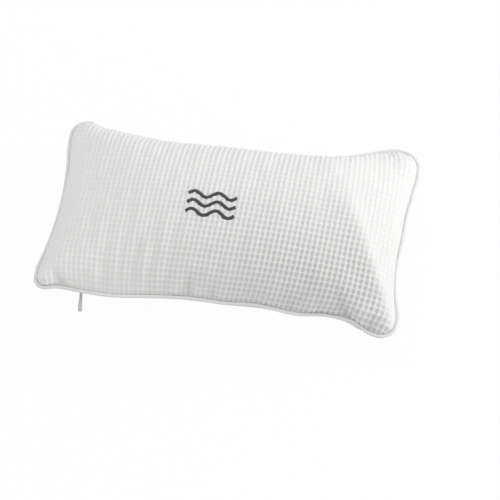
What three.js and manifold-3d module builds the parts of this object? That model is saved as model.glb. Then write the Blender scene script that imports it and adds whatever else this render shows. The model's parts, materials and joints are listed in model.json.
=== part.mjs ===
// A bath pillow: a piped cushion of waffle cloth with a zip in its lower seam and four suction cups.
// Lengths are millimetres. +X runs along the pillow, +Y to its top edge and +Z out of its face.
// The origin is the middle of the flat outside of the back. The cups stand below it.

import * as THREE from 'three';
import { mergeVertices } from 'three/addons/utils/BufferGeometryUtils.js';
import Module from 'manifold-3d';

const wasm = await Module();
wasm.setup();

// Cushion
const LENGTH = 350;
const HEIGHT = 200;
const CROWN_RISE = 47;
const BACK_DEPTH = 28;
const CLOTH = 1.5;
const GAP = 0.3;

// Piping round the seam
const CORD_RADIUS = 1;
const SLEEVE_CLOTH = 0.6;
const FLANGE_WIDTH = 3;
const FLANGE_LAYER = 0.35;

// Inner bag and filling
const BAG_CLOTH = 0.6;
const BAG_SIDE_CLEARANCE = 1.6;
const BAG_CLEARANCE = 0.6;

// Zip: it lies along X under the piping of the lower edge, closed towards -X. Its ends are given
// by how far they lie from the pillow's ends. It's set in from the panels' rim, out of sight.
const ZIP_CLOSED_END = 38;
const ZIP_OPEN_END = 50;
const ZIP_DEPTH = 8;
const ZIP_SET_IN = 3;
const SLOT_DEPTH = 14.4;
const SLOT_BLEND = 3;
const SLOT_MARGIN = 2;
const TAPE = 1;
const TAPE_FOLD = 1.9;
const TAPE_HEM = 0.5;
const COIL_HEIGHT = 2.25;
const COIL_THICKNESS = 2.4;
const COIL_RUN_OUT = 24;
const STOP_LENGTH = 2.7;
const STOP_THICKNESS = 3;

// Slider and its bridge
const SLIDER_LENGTH = 10;
const SLIDER_HEIGHT = 8;
const SLIDER_PLATE = 1.2;
const SLIDER_CORNER = 2;
const SLIDER_CLEARANCE = 0.4;
const LIP_HEIGHT = 0.7;
const LIP_DEPTH = 0.5;
const WEDGE_LENGTH = 2;
const WEDGE_HEIGHT = 1;
const BRIDGE_WIDTH = 2;
const BRIDGE_OPENING = 5.2;
const BRIDGE_BAR = 1;
const BRIDGE_FOOT = 1.2;

// Pull
const PULL_LENGTH = 27;
const PULL_LEAN = 8;
const PULL_PIN_RADIUS = 0.6;
const PULL_ARM = 1;
const PULL_ARM_THICKNESS = 1.6;
const PULL_NECK_THICKNESS = 2.3;
const PULL_END_THICKNESS = 3.8;
const PULL_END_WIDTH = 5.2;

// Suction cups in their eyelets, placed by how far they lie from the pillow's ends and long edges
const CUP_FROM_END = 95;
const CUP_FROM_EDGE = 67;
const CUP_RADIUS = 21;
const CUP_STAND = 12;
const CUP_RIM = 1.6;
const CUP_LIP = 0.8;
const CUP_HOLLOW = 3.4;
const CUP_HUB_RADIUS = 7;
const CUP_HUB_HEIGHT = 3.4;
const CUP_NECK_RADIUS = 4.2;
const CUP_HEAD_RADIUS = 6.5;
const CUP_HEAD_HEIGHT = 3.2;
const CUP_TAB_LENGTH = 6;
const CUP_TAB_WIDTH = 8;
const CUP_TAB = 1.2;
const EYELET_RADIUS = 9;
const EYELET_PLATE = 1.2;
const EYELET_COLLAR = 1;
const EYELET_CLEARANCE = 0.4;

// Stitched waves on the face
const WAVE_COUNT = 3;
const WAVE_LENGTH = 46;
const WAVE_WIDTH = 3.6;
const WAVE_PITCH = 9.5;
const WAVE_RISE = 3;
const WAVE_THICKNESS = 0.9;
const WAVE_CENTRE_X = -14;
const WAVE_CENTRE_Y = -9.5;
const WAVE_CRESTS = 2;

// Shape of the seam, as shares of half the length and half the height, anticlockwise from +X
const outlineShares = [
  [0.963, 0], [0.972, 0.28], [0.993, 0.56], [1.004, 0.76], [0.993, 0.915], [0.955, 0.995],
  [0.88, 1.03], [0.8, 1.005], [0.69, 0.935], [0.56, 0.875], [0.38, 0.845], [0.15, 0.812],
  [-0.08, 0.795], [-0.3, 0.812], [-0.52, 0.832], [-0.7, 0.86], [-0.82, 0.925], [-0.9, 0.968],
  [-0.957, 0.925], [-0.99, 0.83], [-0.99, 0.64], [-0.968, 0.38], [-0.954, 0.08], [-0.958, -0.25],
  [-0.978, -0.56], [-0.998, -0.78], [-0.985, -0.915], [-0.94, -0.977], [-0.86, -0.968],
  [-0.72, -0.955], [-0.55, -0.962], [-0.36, -0.925], [-0.15, -0.888], [0.05, -0.895],
  [0.22, -0.873], [0.44, -0.915], [0.6, -0.895], [0.74, -0.94], [0.84, -1.005], [0.91, -1.01],
  [0.967, -0.945], [0.985, -0.82], [0.963, -0.6], [0.948, -0.35],
];
const frontRingShares = [0.2, 0.4, 0.58, 0.74, 0.86, 0.94, 0.985, 1];
const backRingShares = [0.36, 0.66, 0.78, 0.87, 0.94, 0.985, 1];
const bagRingShares = [0.34, 0.66, 0.85, 0.96, 1];
const pullThickeningShares = [[0, 0], [0.25, 0.1], [0.55, 0.7], [0.85, 1]];
const pullEndShares = [[0.96, 0.85], [1, 0.45]];
const PLATEAU_SHARE = 0.66;
const FRONT_OVAL_SHARE = 0.92;
const BACK_OVAL_SHARE = 0.9;
const CUP_WALL_SHARE = 0.6;
const SQUARING_POWER = 5;
const CROWN_POWER = 2;
const BACK_POWER = 2.1;
const PULL_POWER = 2 / 3;

// Counts of points, sides and steps
const AROUND = 66;
const BAG_AROUND = 33;
const SLEEVE_POINTS = 8;
const SLEEVE_INNER_POINTS = 6;
const CORD_SIDES = 8;
const LATHE_SIDES = 18;
const EYELET_SIDES = 16;
const PULL_SIDES = 10;
const CORNER_STEPS = 3;
const WAVE_STEPS = 18;
const TAPE_STEPS = 18;
const SEARCH_STEPS = 40;

// Allowances for cutting and merging
const OVERRUN = 2;
const MERGE_DISTANCE = 0.0001;

// Sizes that follow from the ones above
const sleeveRadius = CORD_RADIUS + GAP + SLEEVE_CLOTH;
const seamZ = BACK_DEPTH;
const flangeHalf = FLANGE_LAYER + GAP / 2;
const rimZ = flangeHalf + GAP;
const panelInset = 2 * sleeveRadius + GAP;
const bagInset = 2 * sleeveRadius + FLANGE_WIDTH + BAG_SIDE_CLEARANCE;
const chainZ = seamZ - ZIP_DEPTH;
const zipStartX = ZIP_CLOSED_END - LENGTH / 2;
const zipEndX = LENGTH / 2 - ZIP_OPEN_END;
const slotStartX = zipStartX - SLOT_MARGIN;
const slotEndX = zipEndX + SLOT_MARGIN;
const coilEndX = zipEndX - COIL_RUN_OUT;
const headZ = CLOTH + 2 * GAP + EYELET_PLATE + GAP;
const bagBackZ = headZ + CUP_HEAD_HEIGHT + GAP;

const seam = new THREE.CatmullRomCurve3(
  outlineShares.map(([x, y]) => new THREE.Vector3((x * LENGTH) / 2, (y * HEIGHT) / 2, 0)),
  true,
  'centripetal',
);

/** A point of the seam's outline, moved inwards by a distance. */
function insetPoint(turn, inset) {
  const point = seam.getPoint(turn);
  const along = seam.getTangent(turn);
  return new THREE.Vector2(point.x - along.y * inset, point.y + along.x * inset);
}

/** The height of a lens at a share of the way from its middle to its rim, from 1 down to 0. */
function dome(share, power) {
  return Math.max(0, 1 - share ** power) ** (1 / power);
}

/** The back's height: flat in the middle, where the cups sit, then rounded up to the seam. */
function flattened(share) {
  const beyond = Math.max(0, (share - PLATEAU_SHARE) / (1 - PLATEAU_SHARE));
  return dome(beyond, BACK_POWER);
}

/** The place of an outline point drawn in to a share, with the rings rounder towards the middle. */
function drawnIn(edge, share, ovalShare) {
  const bearing = Math.atan2(edge.y / HEIGHT, edge.x / LENGTH);
  const oval = new THREE.Vector2(
    (Math.cos(bearing) * ovalShare * LENGTH) / 2,
    (Math.sin(bearing) * ovalShare * HEIGHT) / 2,
  );
  return oval.lerp(edge, share ** SQUARING_POWER).multiplyScalar(share);
}

// How far down the back panel ends at the slot, and the share of the way out where it does
const slotLevel = (SLOT_DEPTH - rimZ) / (BACK_DEPTH - rimZ);
const slotShare = PLATEAU_SHARE + (1 - PLATEAU_SHARE) * dome(slotLevel, BACK_POWER);

/** The middle of the panels' cloth at the seam, and of the back panel's cloth at the slot. */
function rimAt(turn) {
  const atSeam = insetPoint(turn, panelInset + CLOTH / 2);
  return { atSeam, atSlot: drawnIn(atSeam, slotShare, BACK_OVAL_SHARE) };
}

/** The turn at which the lower edge at the seam, or at the slot, reaches a place along X. */
function lowerTurn(x, edge) {
  let low = 1 / 2;
  let high = 1 - 1 / outlineShares.length;
  for (let i = 0; i < SEARCH_STEPS; i += 1) {
    const middle = (low + high) / 2;
    if (rimAt(middle)[edge].x < x) {
      low = middle;
    } else {
      high = middle;
    }
  }
  return (low + high) / 2;
}

/** Turns evenly round the outline, with two moved to the corners of each end of the zip's slot. */
function sampledTurns() {
  const places = Array.from({ length: AROUND }, (_, i) => i / AROUND);
  const start = Math.floor(lowerTurn(slotStartX, 'atSlot') * AROUND);
  const end = Math.floor(lowerTurn(slotEndX, 'atSlot') * AROUND);
  places[start] = lowerTurn(slotStartX - SLOT_BLEND, 'atSlot');
  places[start + 1] = lowerTurn(slotStartX, 'atSlot');
  places[end] = lowerTurn(slotEndX, 'atSlot');
  places[end + 1] = lowerTurn(slotEndX + SLOT_BLEND, 'atSlot');
  return places;
}

const turns = sampledTurns();

/** Points all round the outline at a distance inside it. */
function insetOutline(inset) {
  return turns.map((turn) => insetPoint(turn, inset));
}

/** Rings of points from the middle of one side of a cushion out to its rim. */
function sideRings(outline, shares, ovalShare, heightAt, rimShare = () => 1) {
  return shares.map((share) => outline.map((edge, i) => {
    const rim = rimShare(i);
    const beyond = Math.max(0, share - PLATEAU_SHARE) / (1 - PLATEAU_SHARE);
    const own = share - beyond * (1 - rim);
    const place = drawnIn(edge, own, ovalShare);
    return new THREE.Vector3(place.x, place.y, heightAt(own));
  }));
}

/** A geometry from points and faces, turned so that its faces point out. */
function solid(points, faces) {
  const volume = faces.reduce((sum, [a, b, c]) => {
    const cross = new THREE.Vector3().crossVectors(points[b], points[c]);
    return sum + points[a].dot(cross);
  }, 0);
  const index = faces.flatMap(([a, b, c]) => (volume > 0 ? [a, b, c] : [a, c, b]));
  const geometry = new THREE.BufferGeometry().setFromPoints(points);
  geometry.setIndex(index);
  geometry.computeVertexNormals();
  return geometry;
}

/** The faces of a band between two rings of points, each quad split along its shorter diagonal. */
function band(points, from, to, count) {
  const faces = [];
  for (let i = 0; i < count; i += 1) {
    const next = (i + 1) % count;
    const [a, b, c, d] = [from + i, from + next, to + next, to + i];
    if (points[a].distanceTo(points[c]) < points[b].distanceTo(points[d])) {
      faces.push([a, b, c], [a, c, d]);
    } else {
      faces.push([a, b, d], [b, c, d]);
    }
  }
  return faces;
}

/** A closed solid of rings between two end points, such as a dish or a lens. */
function loftBetweenPoles(first, rings, last) {
  const count = rings[0].length;
  const points = [first, last, ...rings.flat()];
  const start = (ring) => 2 + ring * count;
  const faces = [];
  for (let i = 0; i < count; i += 1) {
    const next = (i + 1) % count;
    faces.push([0, start(0) + next, start(0) + i]);
    faces.push([1, start(rings.length - 1) + i, start(rings.length - 1) + next]);
  }
  for (let ring = 0; ring + 1 < rings.length; ring += 1) {
    faces.push(...band(points, start(ring), start(ring + 1), count));
  }
  return solid(points, faces);
}

/** A closed solid of sections that run round in a loop. */
function loftLoop(sections) {
  const count = sections[0].length;
  const points = sections.flat();
  const faces = sections.flatMap((_, i) => (
    band(points, i * count, ((i + 1) % sections.length) * count, count)
  ));
  return solid(points, faces);
}

/** The faces that close a flat outline, turned the way that its points run. */
function capFaces(outline) {
  const way = Math.sign(THREE.ShapeUtils.area(outline));
  return THREE.ShapeUtils.triangulateShape(outline, []).map(([a, b, c]) => {
    const turn = Math.sign(THREE.ShapeUtils.area([outline[a], outline[b], outline[c]]));
    return turn === way ? [a, b, c] : [a, c, b];
  });
}

/** A closed solid of sections along a strip, its ends closed by their flat outlines. */
function loftStrip(sections, flatOutline) {
  const count = sections[0].length;
  const last = sections.length - 1;
  const points = sections.flat();
  const faces = [];
  for (let i = 0; i < last; i += 1) {
    faces.push(...band(points, i * count, (i + 1) * count, count));
  }
  capFaces(flatOutline(0)).forEach(([a, b, c]) => faces.push([a, c, b]));
  const offset = last * count;
  capFaces(flatOutline(last)).forEach(([a, b, c]) => faces.push([offset + a, offset + b, offset + c]));
  return solid(points, faces);
}

/** A geometry as a solid that can be cut and joined. */
function toManifold(geometry) {
  const bare = geometry.clone();
  bare.deleteAttribute('normal');
  bare.deleteAttribute('uv');
  const merged = mergeVertices(bare, MERGE_DISTANCE);
  return new wasm.Manifold(new wasm.Mesh({
    numProp: 3,
    vertProperties: new Float32Array(merged.attributes.position.array),
    triVerts: new Uint32Array(merged.index.array),
  }));
}

/** A geometry from a cut or joined solid. */
function fromManifold(manifold) {
  const mesh = manifold.getMesh();
  const geometry = new THREE.BufferGeometry();
  geometry.setAttribute('position', new THREE.BufferAttribute(mesh.vertProperties, 3));
  geometry.setIndex(new THREE.BufferAttribute(mesh.triVerts, 1));
  geometry.computeVertexNormals();
  return geometry;
}

/** Several overlapping geometries joined into one. */
function joined(geometries) {
  return fromManifold(geometries.map(toManifold).reduce((sum, next) => sum.add(next)));
}

/** A box from its lowest to its highest corner. */
function block(low, high) {
  const size = high.clone().sub(low);
  const middle = high.clone().add(low).multiplyScalar(1 / 2);
  return new THREE.BoxGeometry(size.x, size.y, size.z).translate(middle.x, middle.y, middle.z);
}

/** A lathed solid about +Z from its profile of radius and height. */
function turnedAboutZ(profile, sides) {
  const lathe = new THREE.LatheGeometry(
    profile.map(([radius, z]) => new THREE.Vector2(radius, z)),
    sides,
  );
  lathe.rotateX(Math.PI / 2);
  lathe.deleteAttribute('normal');
  lathe.deleteAttribute('uv');
  const merged = mergeVertices(lathe, MERGE_DISTANCE);
  const position = merged.attributes.position;
  const points = Array.from({ length: position.count }, (_, i) => (
    new THREE.Vector3().fromBufferAttribute(position, i)
  ));
  const index = Array.from(merged.index.array);
  const faces = [];
  for (let i = 0; i < index.length; i += 3) {
    const [a, b, c] = index.slice(i, i + 3);
    if (a !== b && b !== c && c !== a) {
      faces.push([a, b, c]);
    }
  }
  return solid(points, faces);
}

const colours = {
  cloth: { color: 0xf3f2ef, roughness: 0.95, metalness: 0 },
  piping: { color: 0xf1f0ee, roughness: 0.9, metalness: 0 },
  lining: { color: 0xe9e9e6, roughness: 0.9, metalness: 0 },
  filling: { color: 0xf7f7f5, roughness: 1, metalness: 0 },
  thread: { color: 0x6b6b6e, roughness: 0.6, metalness: 0 },
  coil: { color: 0xe8e8e8, roughness: 0.4, metalness: 0 },
  slider: { color: 0xd8d8d8, roughness: 0.35, metalness: 0.6 },
  pull: { color: 0xc9cacc, roughness: 0.5, metalness: 0 },
  cup: { color: 0xdfe5e8, roughness: 0.2, metalness: 0 },
  eyelet: { color: 0xf0f0f0, roughness: 0.4, metalness: 0 },
};

const pillow = new THREE.Group();

/** Adds a named piece of a finish to the pillow or to a group of it. */
function add(name, geometry, finish, parent = pillow) {
  const mesh = new THREE.Mesh(geometry, new THREE.MeshStandardMaterial(colours[finish]));
  mesh.name = name;
  parent.add(mesh);
  return mesh;
}

/** 1 at the zip's slot in the lower edge and 0 away from it, blended at the slot's ends. */
function slotAt(turn) {
  const { x, y } = rimAt(turn).atSlot;
  if (y > 0) {
    return 0;
  }
  const past = Math.max(slotStartX - x, x - slotEndX, 0);
  return 1 - THREE.MathUtils.smoothstep(past, 0, SLOT_BLEND);
}

/** The front: a crowned shell of cloth, open towards the back. */
function frontPanel() {
  const outer = insetOutline(panelInset);
  const inner = insetOutline(panelInset + CLOTH);
  const floor = seamZ + rimZ;
  const rise = CROWN_RISE - rimZ;
  const [outside, inside] = [[outer, rise], [inner, rise - CLOTH]].map(([outline, height]) => (
    sideRings(outline, frontRingShares, FRONT_OVAL_SHARE, (s) => floor + height * dome(s, CROWN_POWER))
  ));
  const top = new THREE.Vector3(0, 0, floor + rise);
  const under = new THREE.Vector3(0, 0, floor + rise - CLOTH);
  return loftBetweenPoles(top, [...outside, ...inside.reverse()], under);
}

/** The share at which the back panel's rim lies at a turn of the outline, less at the zip's slot. */
function backRim(i) {
  return 1 - slotAt(turns[i]) * (1 - slotShare);
}

/** The back: a flat-bottomed shell of cloth with a hole for each eyelet. */
function backPanel() {
  const outer = insetOutline(panelInset);
  const inner = insetOutline(panelInset + CLOTH);
  const roof = seamZ - rimZ;
  const [outside, inside] = [[outer, roof], [inner, roof - CLOTH]].map(([outline, depth]) => (
    sideRings(outline, backRingShares, BACK_OVAL_SHARE, (s) => roof - depth * flattened(s), backRim)
  ));
  const bottom = new THREE.Vector3(0, 0, 0);
  const above = new THREE.Vector3(0, 0, CLOTH);
  const shell = toManifold(loftBetweenPoles(bottom, [...outside, ...inside.reverse()], above));
  const hole = CUP_NECK_RADIUS + EYELET_CLEARANCE + EYELET_COLLAR + GAP;
  const cuts = cupPlaces().map(({ x, y }) => {
    const cutter = new THREE.CylinderGeometry(hole, hole, CLOTH + 2 * OVERRUN, EYELET_SIDES);
    cutter.rotateX(Math.PI / 2).translate(x, y, CLOTH / 2);
    return toManifold(cutter);
  });
  return fromManifold(cuts.reduce((left, cut) => left.subtract(cut), shell));
}

/** The middles of the four cups. */
function cupPlaces() {
  return [[-1, 1], [1, 1], [-1, -1], [1, -1]].map(([x, y]) => ({
    x: x * (LENGTH / 2 - CUP_FROM_END),
    y: y * (HEIGHT / 2 - CUP_FROM_EDGE),
  }));
}

/** A section of the piping, given as distances inwards and up, set on the outline. */
function alongSeam(section) {
  return loftLoop(turns.map((turn) => section.map(([inwards, up]) => {
    const place = insetPoint(turn, sleeveRadius + inwards);
    return new THREE.Vector3(place.x, place.y, seamZ + up);
  })));
}

/** The piping's cloth: a strip folded round the cord, its two edges sewn into the seam. */
function pipingSleeve() {
  const arc = (radius, upAtSlit, count, direction) => {
    const slit = Math.PI - Math.asin(upAtSlit / radius);
    return Array.from({ length: count }, (_, i) => {
      const angle = direction * slit * (1 - (2 * i) / (count - 1));
      return [-Math.cos(angle) * radius, Math.sin(angle) * radius];
    });
  };
  const reach = sleeveRadius + FLANGE_WIDTH;
  return alongSeam([
    [reach, flangeHalf],
    ...arc(sleeveRadius, flangeHalf, SLEEVE_POINTS, 1),
    [reach, -flangeHalf],
    [reach, -GAP / 2],
    ...arc(sleeveRadius - SLEEVE_CLOTH, GAP / 2, SLEEVE_INNER_POINTS, -1),
    [reach, GAP / 2],
  ]);
}

/** The round cord inside the piping. */
function pipingCord() {
  return alongSeam(Array.from({ length: CORD_SIDES }, (_, i) => {
    const angle = ((i + 1 / 2) * 2 * Math.PI) / CORD_SIDES;
    return [Math.cos(angle) * CORD_RADIUS, Math.sin(angle) * CORD_RADIUS];
  }));
}

/** Places along the zip's tapes, from one end to the other. */
function tapeStations() {
  return Array.from({ length: TAPE_STEPS + 1 }, (_, i) => (
    THREE.MathUtils.lerp(zipStartX, zipEndX, i / TAPE_STEPS)
  ));
}

/** The Y of the panels' rim above a place along the zip. */
function rimYAt(x) {
  return rimAt(lowerTurn(x, 'atSeam')).atSeam.y;
}

/** The zip's plane: it's set in from the panels' rim where the seam is drawn in most. */
const chainY = Math.max(...tapeStations().map(rimYAt)) + ZIP_SET_IN;

/** The closed section of a strip of cloth that follows a line of points in Y and Z. */
function clothSection(line, thickness) {
  const sides = [1, -1].map((side) => line.map((point, i) => {
    const before = line[Math.max(0, i - 1)];
    const after = line[Math.min(line.length - 1, i + 1)];
    const along = after.clone().sub(before).normalize();
    return new THREE.Vector2(
      point.x - (along.y * side * thickness) / 2,
      point.y + (along.x * side * thickness) / 2,
    );
  }));
  return [...sides[0], ...sides[1].reverse()];
}

/** A zip tape from its section in Y and Z at each place along the zip. */
function zipTape(sectionAt) {
  const stations = tapeStations();
  const flat = stations.map(sectionAt);
  const sections = flat.map((section, i) => (
    section.map((point) => new THREE.Vector3(stations[i], point.x, point.y))
  ));
  return loftStrip(sections, (i) => flat[i]);
}

/** The upper tape: from the chain, round a fold, to where it is sewn under the piping's flange. */
function upperTape(x) {
  const edge = chainZ + COIL_HEIGHT + 2 * GAP;
  return clothSection([
    new THREE.Vector2(chainY, edge),
    new THREE.Vector2(chainY, edge + TAPE_FOLD),
    new THREE.Vector2(rimYAt(x), seamZ - flangeHalf - GAP - TAPE / 2),
  ], TAPE);
}

/** The lower tape: from the chain down to a hem, which is sewn over the back panel's rim. */
function lowerTape(x) {
  const edge = chainZ - COIL_HEIGHT - 2 * GAP;
  const roof = seamZ - rimZ;
  const hemBottom = roof - (roof - CLOTH) * slotLevel + GAP;
  const hemTop = hemBottom + TAPE;
  const half = TAPE / 2;
  const rimY = rimAt(lowerTurn(x, 'atSlot')).atSlot.y;
  const outer = Math.min(chainY, rimY) - half - TAPE_HEM;
  const inner = Math.max(chainY, rimY) + half + TAPE_HEM;
  return [
    [chainY - half, edge],
    [chainY + half, edge],
    [chainY + half, hemTop],
    [inner, hemTop],
    [inner, hemBottom],
    [outer, hemBottom],
    [outer, hemTop],
    [chainY - half, hemTop],
  ].map(([y, z]) => new THREE.Vector2(y, z));
}

/** Half of the zip's coil: a bar with a rounded back beside the middle line of the chain. */
function zipCoil(up) {
  const inner = GAP / 2;
  const shape = new THREE.Shape();
  const half = COIL_THICKNESS / 2;
  const round = half / 2;
  shape.moveTo(-half, inner);
  shape.lineTo(half, inner);
  shape.lineTo(half, COIL_HEIGHT - round);
  shape.lineTo(half - round, COIL_HEIGHT);
  shape.lineTo(round - half, COIL_HEIGHT);
  shape.lineTo(-half, COIL_HEIGHT - round);
  const start = zipStartX + STOP_LENGTH + 2 * GAP + WEDGE_LENGTH + GAP;
  const bar = new THREE.ExtrudeGeometry(shape, { depth: coilEndX - start, bevelEnabled: false, steps: 1 });
  const basis = new THREE.Matrix4().makeBasis(
    new THREE.Vector3(0, up, 0),
    new THREE.Vector3(0, 0, up),
    new THREE.Vector3(1, 0, 0),
  );
  bar.applyMatrix4(basis);
  bar.translate(start, chainY, chainZ);
  return bar;
}

/** A stop across the chain, between the two tapes. */
function zipStop(startX) {
  return block(
    new THREE.Vector3(startX, chainY - STOP_THICKNESS / 2, chainZ - COIL_HEIGHT),
    new THREE.Vector3(startX + STOP_LENGTH, chainY + STOP_THICKNESS / 2, chainZ + COIL_HEIGHT),
  );
}

const plateInnerY = COIL_THICKNESS / 2 + SLIDER_CLEARANCE;
const plateOuterY = plateInnerY + SLIDER_PLATE;
const hingeY = plateOuterY + PULL_END_THICKNESS / 2 + GAP;
const sliderX = zipStartX + STOP_LENGTH + GAP + SLIDER_LENGTH / 2;

/** A slider plate with round corners, standing in X and Z, from one Y to another. */
function sliderPlate(fromY, toY) {
  const halfX = SLIDER_LENGTH / 2;
  const halfZ = SLIDER_HEIGHT / 2;
  const shape = new THREE.Shape();
  shape.moveTo(SLIDER_CORNER - halfX, -halfZ);
  shape.lineTo(halfX - SLIDER_CORNER, -halfZ);
  shape.absarc(halfX - SLIDER_CORNER, SLIDER_CORNER - halfZ, SLIDER_CORNER, -Math.PI / 2, 0);
  shape.absarc(halfX - SLIDER_CORNER, halfZ - SLIDER_CORNER, SLIDER_CORNER, 0, Math.PI / 2);
  shape.absarc(SLIDER_CORNER - halfX, halfZ - SLIDER_CORNER, SLIDER_CORNER, Math.PI / 2, Math.PI);
  shape.absarc(SLIDER_CORNER - halfX, SLIDER_CORNER - halfZ, SLIDER_CORNER, Math.PI, (3 * Math.PI) / 2);
  const plate = new THREE.ExtrudeGeometry(shape, {
    depth: toY - fromY, bevelEnabled: false, curveSegments: CORNER_STEPS, steps: 1,
  });
  return plate.rotateX(Math.PI / 2).translate(0, toY, 0);
}

/** The slider about the middle of the chain, its bridge towards -Y. */
function slider() {
  const halfX = SLIDER_LENGTH / 2;
  const halfZ = SLIDER_HEIGHT / 2;
  const overlap = SLIDER_PLATE / 2;
  const lips = [-1, 1].flatMap((side) => [-1, 1].map((up) => {
    const z = [up * halfZ, up * (halfZ - LIP_HEIGHT)].sort((a, b) => a - b);
    const y = [side * (plateInnerY + overlap), side * (plateInnerY - LIP_DEPTH)].sort((a, b) => a - b);
    const reach = halfX - SLIDER_CORNER;
    return block(new THREE.Vector3(-reach, y[0], z[0]), new THREE.Vector3(reach, y[1], z[1]));
  }));
  const wedge = block(
    new THREE.Vector3(-halfX, -plateInnerY - overlap, -WEDGE_HEIGHT / 2),
    new THREE.Vector3(WEDGE_LENGTH - halfX, plateInnerY + overlap, WEDGE_HEIGHT / 2),
  );
  const barInnerY = -(hingeY + PULL_PIN_RADIUS + GAP);
  const footInner = BRIDGE_OPENING / 2;
  const footOuter = footInner + BRIDGE_FOOT;
  const halfWidth = BRIDGE_WIDTH / 2;
  const bar = block(
    new THREE.Vector3(-footOuter, barInnerY - BRIDGE_BAR, -halfWidth),
    new THREE.Vector3(footOuter, barInnerY, halfWidth),
  );
  const feet = [[-footOuter, -footInner], [footInner, footOuter]].map(([from, to]) => block(
    new THREE.Vector3(from, barInnerY - BRIDGE_BAR, -halfWidth),
    new THREE.Vector3(to, overlap - plateOuterY, halfWidth),
  ));
  return joined([
    sliderPlate(-plateOuterY, -plateInnerY),
    sliderPlate(plateInnerY, plateOuterY),
    wedge,
    ...lips,
    bar,
    ...feet,
  ]);
}

/** A rounded section of the pull at a distance from its pin. */
function pullSection(distance, thickness, width) {
  return Array.from({ length: PULL_SIDES }, (_, i) => {
    const angle = (i * 2 * Math.PI) / PULL_SIDES;
    const round = (value) => Math.sign(value) * Math.abs(value) ** PULL_POWER;
    return new THREE.Vector3(
      (round(Math.cos(angle)) * thickness) / 2,
      -distance,
      (round(Math.sin(angle)) * width) / 2,
    );
  });
}

/** The pull about its pin: the pin, two arms beside the bridge and a paddle that thickens to its end. */
function pull() {
  const armInner = BRIDGE_WIDTH / 2 + GAP;
  const armOuter = armInner + PULL_ARM;
  const neckWidth = 2 * armOuter;
  const bridgeReach = Math.hypot(BRIDGE_OPENING / 2 + BRIDGE_FOOT, PULL_PIN_RADIUS + GAP + BRIDGE_BAR);
  const paddleStart = bridgeReach + GAP;
  const pin = new THREE.CylinderGeometry(PULL_PIN_RADIUS, PULL_PIN_RADIUS, neckWidth, PULL_SIDES);
  pin.rotateX(Math.PI / 2);
  const arms = [-1, 1].map((up) => {
    const z = [up * armInner, up * armOuter].sort((a, b) => a - b);
    const half = PULL_ARM_THICKNESS / 2;
    return block(
      new THREE.Vector3(-half, -paddleStart - PULL_ARM, z[0]),
      new THREE.Vector3(half, half, z[1]),
    );
  });
  const reach = PULL_LENGTH - paddleStart;
  const sections = pullThickeningShares.map(([along, share]) => pullSection(
    paddleStart + along * reach,
    THREE.MathUtils.lerp(PULL_NECK_THICKNESS, PULL_END_THICKNESS, share),
    THREE.MathUtils.lerp(neckWidth, PULL_END_WIDTH, share),
  ));
  pullEndShares.forEach(([along, share]) => sections.push(pullSection(
    paddleStart + along * reach,
    PULL_END_THICKNESS * share,
    PULL_END_WIDTH * share,
  )));
  const middle = (at) => new THREE.Vector3(0, -at, 0);
  const paddle = loftBetweenPoles(middle(paddleStart), sections, middle(PULL_LENGTH));
  return joined([paddle, pin, ...arms]);
}

/** One side of the bag or filling: its lower edge stays clear of the zip's slider. */
function bagOutline(inset) {
  const clear = chainY + plateOuterY + GAP + (inset - bagInset);
  return Array.from({ length: BAG_AROUND }, (_, i) => {
    const point = insetPoint(i / BAG_AROUND, inset);
    return new THREE.Vector2(point.x, Math.max(point.y, clear));
  });
}

/** The heights of the bag, or of what is inside it by a distance, at its middle. */
function bagHeights(inside) {
  return {
    top: seamZ + CROWN_RISE - CLOTH - BAG_CLEARANCE - inside,
    bottom: bagBackZ + inside,
  };
}

/** Half of the inner bag: a thin shell, up for the front half and down for the back one. */
function bagHalf(front) {
  const outer = bagOutline(bagInset);
  const inner = bagOutline(bagInset + BAG_CLOTH);
  const base = seamZ + (front ? GAP : -GAP) / 2;
  const [full, thin] = [0, BAG_CLOTH].map((inside) => {
    const { top, bottom } = bagHeights(inside);
    return (front ? top : bottom) - base;
  });
  const profile = (s) => (front ? dome(s, CROWN_POWER) : flattened(s));
  const ovalShare = front ? FRONT_OVAL_SHARE : BACK_OVAL_SHARE;
  const outside = sideRings(outer, bagRingShares, ovalShare, (s) => base + full * profile(s));
  const inside = sideRings(inner, bagRingShares, ovalShare, (s) => base + thin * profile(s));
  const pole = new THREE.Vector3(0, 0, base + full);
  const innerPole = new THREE.Vector3(0, 0, base + thin);
  return loftBetweenPoles(pole, [...outside, ...inside.reverse()], innerPole);
}

/** The filling: one soft block inside the bag. */
function filling() {
  const outline = bagOutline(bagInset + BAG_CLOTH + GAP);
  const { top, bottom } = bagHeights(BAG_CLOTH + GAP);
  const upper = sideRings(outline, bagRingShares, FRONT_OVAL_SHARE, (s) => (
    seamZ + (top - seamZ) * dome(s, CROWN_POWER)
  ));
  const lower = sideRings(outline, bagRingShares.slice(0, -1), BACK_OVAL_SHARE, (s) => (
    seamZ + (bottom - seamZ) * flattened(s)
  ));
  return loftBetweenPoles(
    new THREE.Vector3(0, 0, top),
    [...upper, ...lower.reverse()],
    new THREE.Vector3(0, 0, bottom),
  );
}

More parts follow.
